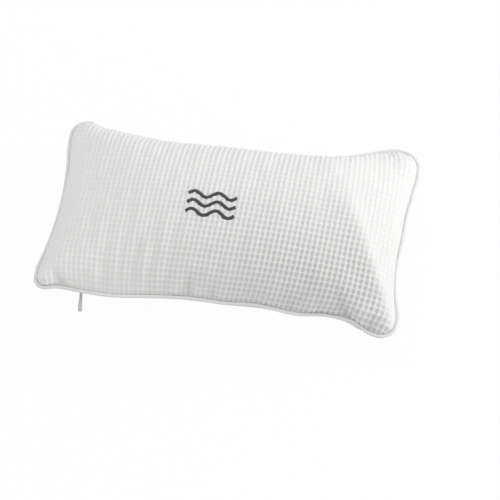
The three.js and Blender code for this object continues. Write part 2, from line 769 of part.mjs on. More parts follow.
/** A suction cup about its own axis, with the back's outside at height zero. */
function suctionCup() {
  const floor = -CUP_STAND;
  const shoulder = -(EYELET_PLATE + 2 * GAP);
  const rimInner = CUP_RADIUS - CUP_RIM;
  const hubBottom = shoulder - CUP_HUB_HEIGHT;
  const middleRadius = CUP_RADIUS * CUP_WALL_SHARE;
  const head = headZ + CUP_HEAD_HEIGHT;
  const bowl = turnedAboutZ([
    [0, floor + CUP_HOLLOW],
    [middleRadius, floor + CUP_HOLLOW * CUP_WALL_SHARE],
    [rimInner, floor],
    [CUP_RADIUS, floor],
    [CUP_RADIUS, floor + CUP_LIP],
    [middleRadius, floor + CUP_HOLLOW + CUP_LIP],
    [CUP_HUB_RADIUS, hubBottom],
    [CUP_HUB_RADIUS, shoulder],
    [CUP_NECK_RADIUS, shoulder],
    [CUP_NECK_RADIUS, headZ],
    [CUP_HEAD_RADIUS, headZ],
    [CUP_HEAD_RADIUS, headZ + CUP_HEAD_HEIGHT / 2],
    [CUP_NECK_RADIUS / 2, head],
    [0, head],
  ], LATHE_SIDES);
  const tab = block(
    new THREE.Vector3(rimInner, -CUP_TAB_WIDTH / 2, floor + CUP_LIP / 2),
    new THREE.Vector3(CUP_RADIUS + CUP_TAB_LENGTH, CUP_TAB_WIDTH / 2, floor + CUP_LIP / 2 + CUP_TAB),
  );
  return joined([bowl, tab]);
}

/** An eyelet: a flange outside the cloth and a collar through it. */
function eyelet() {
  const inner = CUP_NECK_RADIUS + EYELET_CLEARANCE;
  const collar = inner + EYELET_COLLAR;
  const top = headZ - GAP;
  return turnedAboutZ([
    [inner, -GAP - EYELET_PLATE],
    [EYELET_RADIUS, -GAP - EYELET_PLATE],
    [EYELET_RADIUS, -GAP],
    [collar, -GAP],
    [collar, top],
    [inner, top],
    [inner, -GAP - EYELET_PLATE],
  ], EYELET_SIDES);
}

/** The washer inside the cloth, round the eyelet's collar. */
function eyeletWasher() {
  const inner = CUP_NECK_RADIUS + EYELET_CLEARANCE + EYELET_COLLAR + GAP;
  const bottom = CLOTH + GAP;
  return turnedAboutZ([
    [inner, bottom],
    [EYELET_RADIUS, bottom],
    [EYELET_RADIUS, bottom + EYELET_PLATE],
    [inner, bottom + EYELET_PLATE],
    [inner, bottom],
  ], EYELET_SIDES);
}

/** One wavy line of stitches, laid on the front panel. */
function stitchedWave(index, panel) {
  const down = new THREE.Vector3(0, 0, -1);
  const caster = new THREE.Raycaster();
  const heightOn = (x, y) => {
    caster.set(new THREE.Vector3(x, y, seamZ + CROWN_RISE + OVERRUN), down);
    return caster.intersectObject(panel)[0].point.z;
  };
  const middleY = WAVE_CENTRE_Y - (index - (WAVE_COUNT - 1) / 2) * WAVE_PITCH;
  const lineAt = (share) => new THREE.Vector2(
    WAVE_CENTRE_X + (share - 1 / 2) * WAVE_LENGTH,
    middleY + Math.sin(share * WAVE_CRESTS * 2 * Math.PI) * WAVE_RISE,
  );
  const sections = Array.from({ length: WAVE_STEPS + 1 }, (_, i) => {
    const share = i / WAVE_STEPS;
    const { x, y } = lineAt(share);
    const half = WAVE_WIDTH / 2;
    const low = heightOn(x, y - half) + GAP;
    const high = heightOn(x, y + half) + GAP;
    return [
      new THREE.Vector3(x, y - half, low),
      new THREE.Vector3(x, y + half, high),
      new THREE.Vector3(x, y + half, high + WAVE_THICKNESS),
      new THREE.Vector3(x, y - half, low + WAVE_THICKNESS),
    ];
  });
  return loftStrip(sections, (i) => sections[i].map((p) => new THREE.Vector2(p.y, p.z)));
}

const front = add('front_panel', frontPanel(), 'cloth');
add('back_panel', backPanel(), 'cloth');
add('piping_sleeve', pipingSleeve(), 'piping');
add('piping_cord', pipingCord(), 'piping');
add('inner_bag_front', bagHalf(true), 'lining');
add('inner_bag_back', bagHalf(false), 'lining');
add('filling', filling(), 'filling');

add('zip_tape_upper', zipTape(upperTape), 'piping');
add('zip_tape_lower', zipTape(lowerTape), 'piping');
add('zip_coil_upper', zipCoil(1), 'coil');
add('zip_coil_lower', zipCoil(-1), 'coil');
add('zip_stop_closed_end', zipStop(zipStartX), 'coil');
add('zip_stop_open_end', zipStop(coilEndX + GAP), 'coil');

const sliderGroup = new THREE.Group();
sliderGroup.position.set(sliderX, chainY, chainZ);
pillow.add(sliderGroup);
add('zip_slider', slider(), 'slider', sliderGroup);
const pullMesh = add('zip_pull', pull(), 'pull', sliderGroup);
pullMesh.position.set(0, -hingeY, 0);
pullMesh.rotation.z = THREE.MathUtils.degToRad(PULL_LEAN);

cupPlaces().forEach(({ x, y }, i) => {
  const cupGroup = new THREE.Group();
  cupGroup.position.set(x, y, 0);
  pillow.add(cupGroup);
  const cup = add(`suction_cup_${i + 1}`, suctionCup(), 'cup', cupGroup);
  cup.rotation.z = x < 0 ? Math.PI : 0;
  add(`eyelet_${i + 1}`, eyelet(), 'eyelet', cupGroup);
  add(`eyelet_washer_${i + 1}`, eyeletWasher(), 'eyelet', cupGroup);
});

for (let i = 0; i < WAVE_COUNT; i += 1) {
  add(`stitched_wave_${i + 1}`, stitchedWave(i, front), 'thread');
}

export default pillow;
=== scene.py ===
"""A white bath pillow of waffle cloth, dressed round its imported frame.

Lengths are metres in the frame's own axes: +X runs along the pillow, +Y to its top edge and +Z out
of its crowned face. The cushion's seam, cloth and filling are drawn here at full detail, and the
zip, the suction cups and their eyelets stand where the frame has them.
"""

import json
import logging
import math
from dataclasses import dataclass, replace
from enum import Enum
from functools import cached_property

import bpy
import numpy as np
from mathutils import Matrix, Vector
from mathutils.bvhtree import BVHTree


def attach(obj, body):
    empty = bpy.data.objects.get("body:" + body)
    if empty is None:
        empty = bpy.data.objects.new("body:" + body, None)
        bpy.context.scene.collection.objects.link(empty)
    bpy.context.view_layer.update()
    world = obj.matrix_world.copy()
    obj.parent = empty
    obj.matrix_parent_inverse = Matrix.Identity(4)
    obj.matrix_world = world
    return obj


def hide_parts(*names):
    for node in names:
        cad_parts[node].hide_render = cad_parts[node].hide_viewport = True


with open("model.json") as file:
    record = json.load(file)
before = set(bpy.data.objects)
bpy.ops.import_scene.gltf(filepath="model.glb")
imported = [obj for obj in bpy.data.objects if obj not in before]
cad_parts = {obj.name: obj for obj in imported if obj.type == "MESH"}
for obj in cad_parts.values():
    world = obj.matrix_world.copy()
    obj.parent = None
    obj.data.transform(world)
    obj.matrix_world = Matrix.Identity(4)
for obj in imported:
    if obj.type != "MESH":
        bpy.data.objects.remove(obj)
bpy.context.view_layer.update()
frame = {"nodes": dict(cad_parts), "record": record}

log = logging.getLogger("bath_pillow")
Array = np.ndarray
Faces = list[tuple[int, ...]]
Body = tuple[Array, Faces]
Material = bpy.types.Material
Piece = bpy.types.Object
Tree = bpy.types.NodeTree
Socket = bpy.types.NodeSocket
Links = dict[str | int, object]
Gloss = tuple[tuple[str, float], ...]

MM = 0.001
TINY = 1e-12
CLOTH_MAP = "Cloth"
BAKE_MAP = "OFBake"
# The panels' attribute of painted shade: darker in the weave's pits, along the seam, most at the
# bottom edge, and in the folds' creases.
PAINTED_SHADE_ATTRIBUTE = "PaintedShade"
RECORD = frame["record"]
BODY_OF = {node: body for body, nodes in RECORD["behaviour"]["bodies"].items() for node in nodes}

# The corners of a square about its middle, anticlockwise.
SQUARE = np.array([(-1, -1), (1, -1), (1, 1), (-1, 1)])

# The steps from a tube's face's first corner to each corner: along the tube and round it.
CORNER_STEPS = ((0, 0), (0, 1), (1, 1), (1, 0))

# A grid's vertex that lies this little outside a cut is kept.
NEARLY_ZERO = 1e-7

# The greatest share of the way to the next corner that the rounding of a corner may take.
MOST_ROUNDED = 0.45

# The shortest and longest waves of soft noise, as shares of its usual wavelength.
NOISE_WAVE_SHARES = (0.7, 1.5)

# The seam's course as shares of half the length and half the height, anticlockwise from +X. It's
# the CAD's own line, and the stuffed corners stray from it by up to 2.5 mm.
SEAM_SHARES = (
    (0.963, 0), (0.972, 0.28), (0.993, 0.56), (1.008, 0.76), (0.996, 0.915), (0.955, 0.997),
    (0.88, 1.037), (0.8, 1.017), (0.69, 0.947), (0.56, 0.882), (0.38, 0.845), (0.15, 0.812),
    (-0.08, 0.795), (-0.3, 0.812), (-0.52, 0.832), (-0.7, 0.855), (-0.82, 0.911), (-0.9, 0.957),
    (-0.957, 0.92), (-0.99, 0.83), (-0.99, 0.64), (-0.968, 0.38), (-0.954, 0.08),
    (-0.958, -0.25), (-0.978, -0.56), (-0.998, -0.78), (-0.985, -0.915), (-0.94, -0.968),
    (-0.86, -0.943), (-0.72, -0.957), (-0.55, -0.962), (-0.36, -0.925), (-0.15, -0.888),
    (0.05, -0.895), (0.22, -0.873), (0.44, -0.915), (0.6, -0.89), (0.75, -0.925),
    (0.84, -1.02), (0.91, -1.035), (0.97, -0.963), (0.987, -0.82), (0.963, -0.6),
    (0.948, -0.35),
)


class Side(Enum):
    """The two sides of the cushion."""

    FRONT = "front"
    BACK = "back"


def once_round(count: int) -> Array:
    """Angles spaced evenly once round a circle."""
    return 2 * math.pi * np.arange(count) / count


def ways_at(angles: Array) -> Array:
    """Unit vectors in the plane at angles from +X."""
    return np.stack([np.cos(angles), np.sin(angles)], axis=-1)


def left_of(vectors: Array) -> Array:
    """Vectors in the plane, each turned a quarter to its left."""
    return np.stack([-vectors[..., 1], vectors[..., 0]], axis=-1)


def smooth_step(value: Array, low: float, high: float) -> Array:
    """Rises smoothly from 0 where the value is low to 1 where it's high."""
    share = np.clip((value - low) / (high - low), 0, 1)
    return share * share * (3 - 2 * share)


def soft_noise(places: Array, wavelength: float, seed: int, waves: int = 14) -> Array:
    """Smooth noise of about one size, the same in each run.

    Args:
        places: Points in the plane, in metres.
        wavelength: The usual distance between two swells.
        seed: Which noise it is.
        waves: How many plane waves are summed.

    Returns:
        A value for each place, mostly from -1 to 1.
    """
    rng = np.random.default_rng(seed)
    bearings = rng.uniform(0, 2 * math.pi, waves)
    lengths = wavelength * rng.uniform(*NOISE_WAVE_SHARES, waves)
    phases = rng.uniform(0, 2 * math.pi, waves)
    ways = ways_at(bearings).T * (2 * math.pi / lengths)
    return np.sin(places @ ways + phases).sum(axis=-1) * math.sqrt(2 / waves) / 2


def unit(vectors: Array) -> Array:
    """Vectors along the last axis, with a length of 1."""
    return vectors / np.maximum(np.linalg.norm(vectors, axis=-1, keepdims=True), TINY)


def arc_lengths(line: Array) -> Array:
    """How far along a line each of its points lies.

    Args:
        line: One or more lines of points. The last axis holds a point's X, Y and Z.

    Returns:
        The length up to each point.
    """
    steps = np.linalg.norm(np.diff(line, axis=-2), axis=-1)
    zero = np.zeros(steps.shape[:-1] + (1,))
    return np.concatenate([zero, np.cumsum(steps, axis=-1)], axis=-1)


@dataclass(frozen=True)
class Seam:
    """The line where the two panels and the piping are sewn together."""

    length: float = 350 * MM
    height: float = 200 * MM
    level: float = 28 * MM
    tangent_step: float = 0.0001
    samples: int = 3000

    def _curve(self, turns: Array) -> Array:
        """The outline itself, a closed centripetal curve through the seam's shares.

        Args:
            turns: Places round the outline, where 1 is once round.

        Returns:
            Points in X and Y.
        """
        knots = np.array(SEAM_SHARES) * (self.length / 2, self.height / 2)
        place = np.mod(turns, 1.0) * len(knots)
        first = np.floor(place).astype(int)
        along = (place - first)[..., None]
        a, b, c, d = (knots[(first + k) % len(knots)] for k in (-1, 0, 1, 2))
        before, here, after = (
            np.sqrt(np.linalg.norm(end - start, axis=-1))[..., None]
            for start, end in ((a, b), (b, c), (c, d))
        )
        leave = ((b - a) / before - (c - a) / (before + here) + (c - b) / here) * here
        arrive = ((c - b) / here - (d - b) / (here + after) + (d - c) / after) * here
        return (
            b
            + leave * along
            + (3 * c - 3 * b - 2 * leave - arrive) * along**2
            + (2 * b - 2 * c + leave + arrive) * along**3
        )

    def points(self, turns: Array, inset: float = 0.0) -> Array:
        """Points of the outline, moved inwards.

        Args:
            turns: Places round the outline.
            inset: How far inwards they are moved.

        Returns:
            Points in X and Y.
        """
        turns = np.asarray(turns, float)
        step = self.tangent_step
        along = unit(self._curve(turns + step) - self._curve(turns - step))
        return self._curve(turns) + inset * left_of(along)

    def corner_turns(self) -> Array:
        """The tips of the four corners, anticlockwise from the upper right one.

        Returns:
            Their turns.
        """
        turns = np.linspace(0, 1, self.samples, endpoint=False)
        place = self.points(turns) / (self.length / 2, self.height / 2)
        ways = ((1, 1), (-1, 1), (-1, -1), (1, -1))
        return np.array([turns[np.argmax(place @ np.array(way))] for way in ways])


@dataclass(frozen=True)
class ClothCut:
    """The flat cut of a panel: whole waffle cells in a rectangle with rounded corners."""

    columns: int = 73
    rows: int = 36
    cell_width: float = 4.99 * MM
    cell_height: float = 5.57 * MM
    corner_radius: float = 17 * MM
    samples: int = 4000
    halvings: int = 48

    @property
    def half(self) -> Array:
        """Half the cut's length and height."""
        return np.array([self.columns * self.cell_width, self.rows * self.cell_height]) / 2

    def distance(self, flat: Array) -> Array:
        """How far flat points lie outside the cut, negative inside it.

        Args:
            flat: Points on the flat cloth.

        Returns:
            The distances.
        """
        past = np.abs(flat) - (self.half - self.corner_radius)
        outside = np.linalg.norm(np.maximum(past, 0), axis=-1)
        return outside + np.minimum(past.max(axis=-1), 0) - self.corner_radius

    def tip_bearing(self) -> float:
        """The bearing of the tip of the upper right corner."""
        tip = self.half - self.corner_radius * (1 - math.sqrt(0.5))
        return math.atan2(tip[1], tip[0])

    def edge(self) -> tuple[Array, Array, Array]:
        """The cut's edge, anticlockwise from the upper right corner's tip.

        Returns:
            Bearings from that tip's bearing, from 0 to a full turn, and the radius and the point
            at each.
        """
        bearings = np.linspace(0, 2 * math.pi, self.samples + 1)
        way = ways_at(bearings + self.tip_bearing())
        near, far = np.zeros(len(way)), np.full(len(way), self.half.sum())
        for _ in range(self.halvings):
            middle = (near + far) / 2
            inside = self.distance(way * middle[:, None]) < 0
            near, far = np.where(inside, (middle, far), (near, middle))
        radii = (near + far) / 2
        return bearings, radii, way * radii[:, None]


@dataclass(frozen=True)
class Sewing:
    """Which point of the seam each point of the flat cut's edge is sewn to, corner to corner.

    The lower edge slipped a little to the left under the needle, so the weave leans at its right.
    """

    cut: ClothCut
    seam: Seam
    slip: float = 8 * MM

    @cached_property
    def _table(self) -> tuple[Array, Array, Array]:
        """Bearings round the cut, and the cut's radius and the seam's turn at each.

        The slip fades out smoothly to both ends of the lower edge. 27 / 4 makes it whole at its
        highest point.
        """
        bearings, radii, line = self.cut.edge()
        tip = self.cut.tip_bearing()
        cut_arcs = arc_lengths(line)
        tips = np.array([0, math.pi - 2 * tip, math.pi, 2 * math.pi - 2 * tip, 2 * math.pi])
        corners = self.seam.corner_turns()
        corners = corners[0] + np.mod(corners - corners[0], 1)
        turns = corners[0] + np.linspace(0, 1, self.seam.samples + 1)
        seam_arcs = arc_lengths(self.seam.points(turns))
        corner_arcs = np.interp(np.append(corners, corners[0] + 1), turns, seam_arcs)
        sewn = np.interp(cut_arcs, np.interp(tips, bearings, cut_arcs), corner_arcs)
        low_left, low_right = corner_arcs[2:4]
        along_low = np.clip((sewn - low_left) / (low_right - low_left), 0, 1)
        sewn -= self.slip * along_low**2 * (1 - along_low) * 27 / 4
        return bearings, radii, np.interp(sewn, seam_arcs, turns)

    def reach_and_turn(self, flat: Array) -> tuple[Array, Array]:
        """How far out flat points lie, and the turn of the seam beyond them.

        Args:
            flat: Points on the flat cloth.

        Returns:
            The share of the way from the middle to the cut's edge, and the seam's turn.
        """
        bearings, radii, turns = self._table
        angle = np.arctan2(flat[..., 1], flat[..., 0])
        bearing = np.mod(angle - self.cut.tip_bearing(), 2 * math.pi)
        reach = np.linalg.norm(flat, axis=-1) / np.interp(bearing, bearings, radii)
        return reach, np.interp(bearing, bearings, turns)


@dataclass(frozen=True)
class CushionForm:
    """The smooth form of the stuffed cushion, which the cloth is laid on."""

    seam: Seam = Seam()
    crown_rise: float = 45 * MM
    back_depth: float = 28 * MM
    rim_rise: float = 0.6 * MM
    rim_inset: float = 3.15 * MM
    front_oval: float = 0.92
    back_oval: float = 0.9
    squaring_power: float = 5
    crown_power: float = 2.0
    back_power: float = 2.1
    plateau_share: float = 0.66
    steps: int = 96

    def drawn_in(self, side: Side, edge: Array, share: Array) -> Array:
        """Draws edge points in towards the middle, rounder the further in they come.

        Args:
            side: Which side of the cushion.
            edge: Points at the rim, in X and Y.
            share: The share of the way out from the middle.

        Returns:
            Points in X and Y.
        """
        size = np.array([self.seam.length, self.seam.height])
        bearing = np.arctan2(edge[..., 1] / size[1], edge[..., 0] / size[0])
        oval_share = self.front_oval if side is Side.FRONT else self.back_oval
        oval = ways_at(bearing) * oval_share * size / 2
        blend = np.minimum(share, 1)[..., None] ** self.squaring_power
        return (oval + (edge - oval) * blend) * share[..., None]

    def height(self, side: Side, share: Array) -> Array:
        """The height of the cloth's outer face.

        Args:
            side: Which side of the cushion.
            share: The share of the way out from the middle.

        Returns:
            Heights along Z.
        """
        share = np.clip(share, 0, 1)
        if side is Side.FRONT:
            rise = self.crown_rise - self.rim_rise
            lens = np.maximum(1 - share**self.crown_power, 0) ** (1 / self.crown_power)
            return self.seam.level + self.rim_rise + rise * lens
        beyond = np.maximum(share - self.plateau_share, 0) / (1 - self.plateau_share)
        lens = np.maximum(1 - beyond**self.back_power, 0) ** (1 / self.back_power)
        return (self.back_depth - self.rim_rise) * (1 - lens)

    def place(self, side: Side, edge: Array, share: Array) -> Array:
        """Points of one side, at shares of the way out from its middle to points of its rim."""
        flat = self.drawn_in(side, edge, share)
        return np.concatenate([flat, self.height(side, share)[..., None]], axis=-1)

    def rim(self, side: Side, turns: Array) -> Array:
        """Points of a panel's rim beside the piping, at turns round the seam."""
        edge = self.seam.points(turns, self.rim_inset)
        return self.place(side, edge, np.ones(len(edge)))

    def lay(self, side: Side, turns: Array, reach: Array) -> Array:
        """Lays cloth on the form from its middle out, without stretching it along the way.

        Args:
            side: Which side of the cushion.
            turns: The seam's turn beyond each point of the cloth.
            reach: The share of the cloth's way out to its edge, past 1 outside the seam.

        Returns:
            Points in X, Y and Z.
        """
        edge = self.seam.points(turns, self.rim_inset)
        shares = np.linspace(0, 1, self.steps) ** 0.5
        line = self.place(side, edge[:, None, :], np.broadcast_to(shares, (len(edge), self.steps)))
        along = arc_lengths(line)
        along /= along[:, -1:]
        after = np.clip((along < reach[:, None]).sum(axis=1), 1, self.steps - 1)
        row = np.arange(len(edge))
        low, high = along[row, after - 1], along[row, after]
        part = np.clip((reach - low) / (high - low), 0, 1)
        share = shares[after - 1] + part * (shares[after] - shares[after - 1])
        points = self.place(side, edge, share)
        points[:, :2] += edge * np.maximum(reach - 1, 0)[:, None]
        return points


def spline_weights(places: Array, count: int) -> Array:
    """Weights of a uniform cubic spline, which smooths and refines a row of control points.

    Args:
        places: Where to evaluate, counted in control points from 0.
        count: How many control points there are.

    Returns:
        A matrix with a row for each place and a column for each control point.
    """
    cell = np.clip(np.floor(places).astype(int), 0, count - 2)
    w = places - cell
    basis = (
        (1 - w) ** 3 / 6,
        (3 * w**3 - 6 * w**2 + 4) / 6,
        (1 + 3 * w + 3 * w**2 - 3 * w**3) / 6,
        w**3 / 6,
    )
    matrix = np.zeros((len(places), count))
    rows = np.arange(len(places))
    for k, part in enumerate(basis):
        np.add.at(matrix, (rows, np.clip(cell - 1 + k, 0, count - 1)), part)
    return matrix


def flat_grid(across: Array, up: Array) -> Array:
    """The points where lines of the flat cloth cross, as rows, columns and places."""
    return np.stack(np.meshgrid(across, up), axis=-1)


def mean_of_neighbours(grid: Array) -> Array:
    """The mean of the four neighbours of each point of a grid, whose edges count themselves."""
    wide = np.pad(grid, ((1, 1), (1, 1), (0, 0)), mode="edge")
    return (wide[:-2, 1:-1] + wide[2:, 1:-1] + wide[1:-1, :-2] + wide[1:-1, 2:]) / 4


def outward_normals(points: Array, side: Side) -> Array:
    """Unit normals of a grid of points on one side, pointing out of the cushion."""
    normals = unit(np.cross(np.gradient(points, axis=1), np.gradient(points, axis=0)))
    return normals if side is Side.FRONT else -normals


@dataclass(frozen=True)
class Stuffing:
    """How the filling pushes the cloth out, and how the cloth settles over it.

    The cloth is a net of springs with the lengths of its flat cut. It gives way to a squeeze more
    easily than to a pull, so cloth that is spare at the drawn-in sides gathers there in folds.
    """

    push: float = 0.001 * MM
    steps: int = 400
    stretch: float = 0.8
    squeeze: float = 0.4
    shear: float = 0.12
    stiffness: float = 0.05
    drag: float = 0.15
    most_movement: float = 9 * MM

    def _draw(
        self, points: Array, free: Array, rest: Array, first: tuple, second: tuple, strength: float
    ) -> None:
        """Moves the two ends of each spring of a set towards their rest length.

        Args:
            points: The grid of points, which is changed.
            free: 1 for a point that may move and 0 for one that is held.
            rest: The rest length of each spring.
            first: Where the springs' first ends are in the grid.
            second: Where their second ends are.
            strength: How much of a spring's error goes in one step.
        """
        along = points[second] - points[first]
        length = np.linalg.norm(along, axis=-1)
        give = np.where(length > rest, self.stretch, self.squeeze) * strength
        both = np.maximum(free[first] + free[second], 1)
        move = along * (give * (length - rest) / np.maximum(length, TINY) / both)[..., None]
        points[first] += move * free[first][..., None]
        points[second] -= move * free[second][..., None]

    def _springs(self, flat: Array) -> list[tuple[tuple, tuple, Array, float]]:
        """The sets of springs of the net, none of which holds a point twice.

        Args:
            flat: The grid on the flat cut.

        Returns:
            The first ends, the second ends, the rest lengths and the strength of each set.
        """
        rows, columns = flat.shape[:2]
        every = slice(None)
        sets = []
        for odd in (0, 1):
            here, there = slice(odd, columns - 1, 2), slice(odd + 1, columns, 2)
            sets.append(((every, here), (every, there), 1.0))
            here, there = slice(odd, rows - 1, 2), slice(odd + 1, rows, 2)
            sets.append(((here, every), (there, every), 1.0))
            left, right = slice(0, columns - 1), slice(1, columns)
            sets.append(((here, left), (there, right), self.shear))
            sets.append(((here, right), (there, left), self.shear))
        return [
            (first, second, np.linalg.norm(flat[second] - flat[first], axis=-1), strength)
            for first, second, strength in sets
        ]

    def settle(self, start: Array, flat: Array, held: Array, side: Side) -> Array:
        """Settles a sheet of cloth that is held at its rim and pushed out from inside.

        Args:
            start: Where the sheet starts, as a grid of points.
            flat: The same grid on the flat cut, which gives the cloth its own lengths.
            held: Which points are sewn down.
            side: Which side of the cushion it is.

        Returns:
            The settled grid of points.
        """
        points, before = start.copy(), start.copy()
        free = np.where(held, 0.0, 1.0)
        springs = self._springs(flat)
        for _ in range(self.steps):
            speed = (points - before) * (1 - self.drag)
            before = points.copy()
            points += (speed + self.push * outward_normals(points, side)) * free[..., None]
            for first, second, rest, strength in springs:
                self._draw(points, free, rest, first, second, strength)
            moved = points - start
            points += (mean_of_neighbours(moved) - moved) * self.stiffness * free[..., None]
        moved = points - start
        size = np.linalg.norm(moved, axis=-1, keepdims=True)
        capped = self.most_movement * np.tanh(size / self.most_movement)
        return start + moved * capped / np.maximum(size, TINY)


@dataclass
class GridPart:
    """What is left of a regular grid after it's cut along a line.

    Each vertex lies between two vertices of the grid, so anything known on the grid is known here.
    """

    first: Array
    second: Array
    weight: Array
    faces: Faces

    def values(self, grid: Array) -> Array:
        """Brings values on the grid over to these vertices.

        Args:
            grid: Values on the whole grid, as rows, columns and anything more.

        Returns:
            Values with a row for each vertex kept.
        """
        every = grid.reshape((-1,) + grid.shape[2:])
        weight = self.weight.reshape((-1,) + (1,) * (every.ndim - 1))
        return every[self.first] * (1 - weight) + every[self.second] * weight


def cut_grid(outside: Array) -> GridPart:
    """Cuts a regular grid along the line where a field is zero, and keeps where it's negative.

    Args:
        outside: The field at each vertex, as rows and columns.

    Returns:
        The part that is kept.
    """
    index = np.arange(outside.size).reshape(outside.shape)
    quads = np.stack(
        [index[:-1, :-1], index[:-1, 1:], index[1:, 1:], index[1:, :-1]], axis=-1
    ).reshape(-1, 4)
    field = outside.ravel()
    inside = field < NEARLY_ZERO
    numbers: dict[tuple[int, int], int] = {}
    faces = []
    for quad in quads[inside[quads].any(axis=1)].tolist():
        pairs = []
        for here, there in zip(quad, quad[1:] + quad[:1]):
            if inside[here]:
                pairs.append((here, here))
            if inside[here] != inside[there]:
                pairs.append((here, there) if inside[here] else (there, here))
        face = tuple(numbers.setdefault(pair, len(numbers)) for pair in pairs)
        if len(set(face)) > 2:
            faces.append(face)
    first, second = np.array(list(numbers)).T
    fall = np.where(first == second, 1, field[first] - field[second])
    weight = np.where(first == second, 0, np.clip(field[first] / fall, 0, 1))
    return GridPart(first, second, weight, faces)


def open_loops(faces: Faces) -> list[list[int]]:
    """The loops of edges that only one face uses.

    Args:
        faces: The mesh's faces.

    Returns:
        Each loop's vertices, in the direction that the faces run.
    """
    edges = {(a, b) for face in faces for a, b in zip(face, face[1:] + face[:1])}
    following = {a: b for a, b in edges if (b, a) not in edges}
    loops = []
    while following:
        start, here = next(iter(following.items()))
        loop = [start]
        del following[start]
        while here != start:
            loop.append(here)
            here = following.pop(here)
        loops.append(loop)
    return loops


def bridged(points: Array, outer: list[int], inner: list[int]) -> Faces:
    """Triangles between two loops that run side by side the same way.

    Args:
        points: All the points.
        outer: The first loop's vertices.
        inner: The second loop's vertices.

    Returns:
        The faces, which run against the first loop.
    """
    gaps = np.linalg.norm(points[inner] - points[outer[0]], axis=1)
    start = int(np.argmin(gaps))
    inner = inner[start:] + inner[:start]
    here, there, faces = 0, 0, []
    while here < len(outer) or there < len(inner):
        a, b = outer[here % len(outer)], inner[there % len(inner)]
        next_a, next_b = outer[(here + 1) % len(outer)], inner[(there + 1) % len(inner)]
        by_outer = np.linalg.norm(points[next_a] - points[b])
        by_inner = np.linalg.norm(points[a] - points[next_b])
        if there >= len(inner) or (here < len(outer) and by_outer <= by_inner):
            faces.append((next_a, a, b))
            here += 1
        else:
            faces.append((b, next_b, a))
            there += 1
    return faces


def closed_shell(outer: Array, outer_faces: Faces, inner: Array, inner_faces: Faces) -> Body:
    """Joins a fine outer face and a coarser inner face of a cloth into one closed body.

    Args:
        outer: The outer face's points.
        outer_faces: Its faces.
        inner: The inner face's points.
        inner_faces: Its faces, which run the same way as the outer ones.

    Returns:
        The points and the faces of the closed body.
    """
    points = np.concatenate([outer, inner])
    offset = len(outer)
    faces = outer_faces + [tuple(offset + v for v in reversed(face)) for face in inner_faces]
    inner_loops = [[offset + v for v in loop] for loop in open_loops(inner_faces)]
    for loop in open_loops(outer_faces):
        middle = points[loop].mean(axis=0)
        partner = min(
            inner_loops, key=lambda other: np.linalg.norm(points[other].mean(axis=0) - middle)
        )
        faces += bridged(points, loop, partner)
    return points, faces


@dataclass(frozen=True)
class Waffle:
    """The waffle weave's relief: ribs along both ways of the cloth with square pits between them."""

    rib_rise: float = 0.75 * MM
    pit_depth: float = 0.95 * MM
    rib_heights: tuple[float, float] = (0.94, 0.7)
    sharpness: float = 4.0
    lines: tuple[float, ...] = (0.0, 0.12, 0.3, 0.7, 0.88)
    least_open: float = 0.18
    open_at: tuple[float, float] = (0.75, -0.65)
    open_reach: tuple[float, float] = (1.1, 0.85)
    stretch_line: float = 121 * MM
    stretch_lean: float = 0.56
    stretch_fade: float = 13 * MM
    stretch_closes: float = 0.8

    def along(self, count: int, size: float) -> Array:
        """Places of the mesh's lines over the cells, on the ribs' crests and flanks and the pits."""
        cells = np.arange(count)[:, None] + np.array(self.lines)
        return (np.append(cells.ravel(), count) - count / 2) * size

    def crest(self, place: Array) -> Array:
        """1 on a rib's crest and 0 in the middle of a pit, for one way of the cloth."""
        return (0.5 + 0.5 * np.cos(2 * math.pi * place)) ** self.sharpness

    def relief(self, flat: Array, cut: ClothCut) -> Array:
        """How high the weave stands at flat points, from 0 in the pits to nearly 1 on the ribs."""
        cells = (flat + cut.half) / (cut.cell_width, cut.cell_height)
        return 1 - np.prod(1 - self.crest(cells) * self.rib_heights, axis=-1)

    def openness(self, flat: Array, cut: ClothCut) -> Array:
        """How wide the pits stand open, least where the cloth is drawn tight over the filling.

        Args:
            flat: Points on the flat cloth.
            cut: The cut.

        Returns:
            The share at each point, up to 1.
        """
        away = (flat / cut.half - self.open_at) / self.open_reach
        spread = np.exp(-np.sum(away**2, axis=-1))
        past = flat[..., 0] + self.stretch_lean * flat[..., 1] - self.stretch_line
        tight = 1 - self.stretch_closes * smooth_step(past, 0, self.stretch_fade)
        return (self.least_open + (1 - self.least_open) * spread) * tight


@dataclass(frozen=True)
class Fold:
    """A soft ridge in the cloth along a line on its flat cut, in millimetres.

    A crease has a height below zero. The fold keeps a share of its height at its far end.
    """

    start: tuple[float, float]
    end: tuple[float, float]
    width: float
    height: float
    kept: float = 0.0

    def rise(self, flat: Array) -> Array:
        """How far the fold lifts the cloth.

        Args:
            flat: Points on the flat cloth.

        Returns:
            The height at each point.
        """
        from_start = flat / MM - self.start
        along = np.subtract(self.end, self.start)
        share = np.clip(from_start @ along / (along @ along), 0, 1)
        gap = np.linalg.norm(from_start - share[..., None] * along, axis=-1)
        height = self.height * MM * (1 - share * (1 - self.kept))
        return height * np.exp(-((gap / self.width) ** 2))


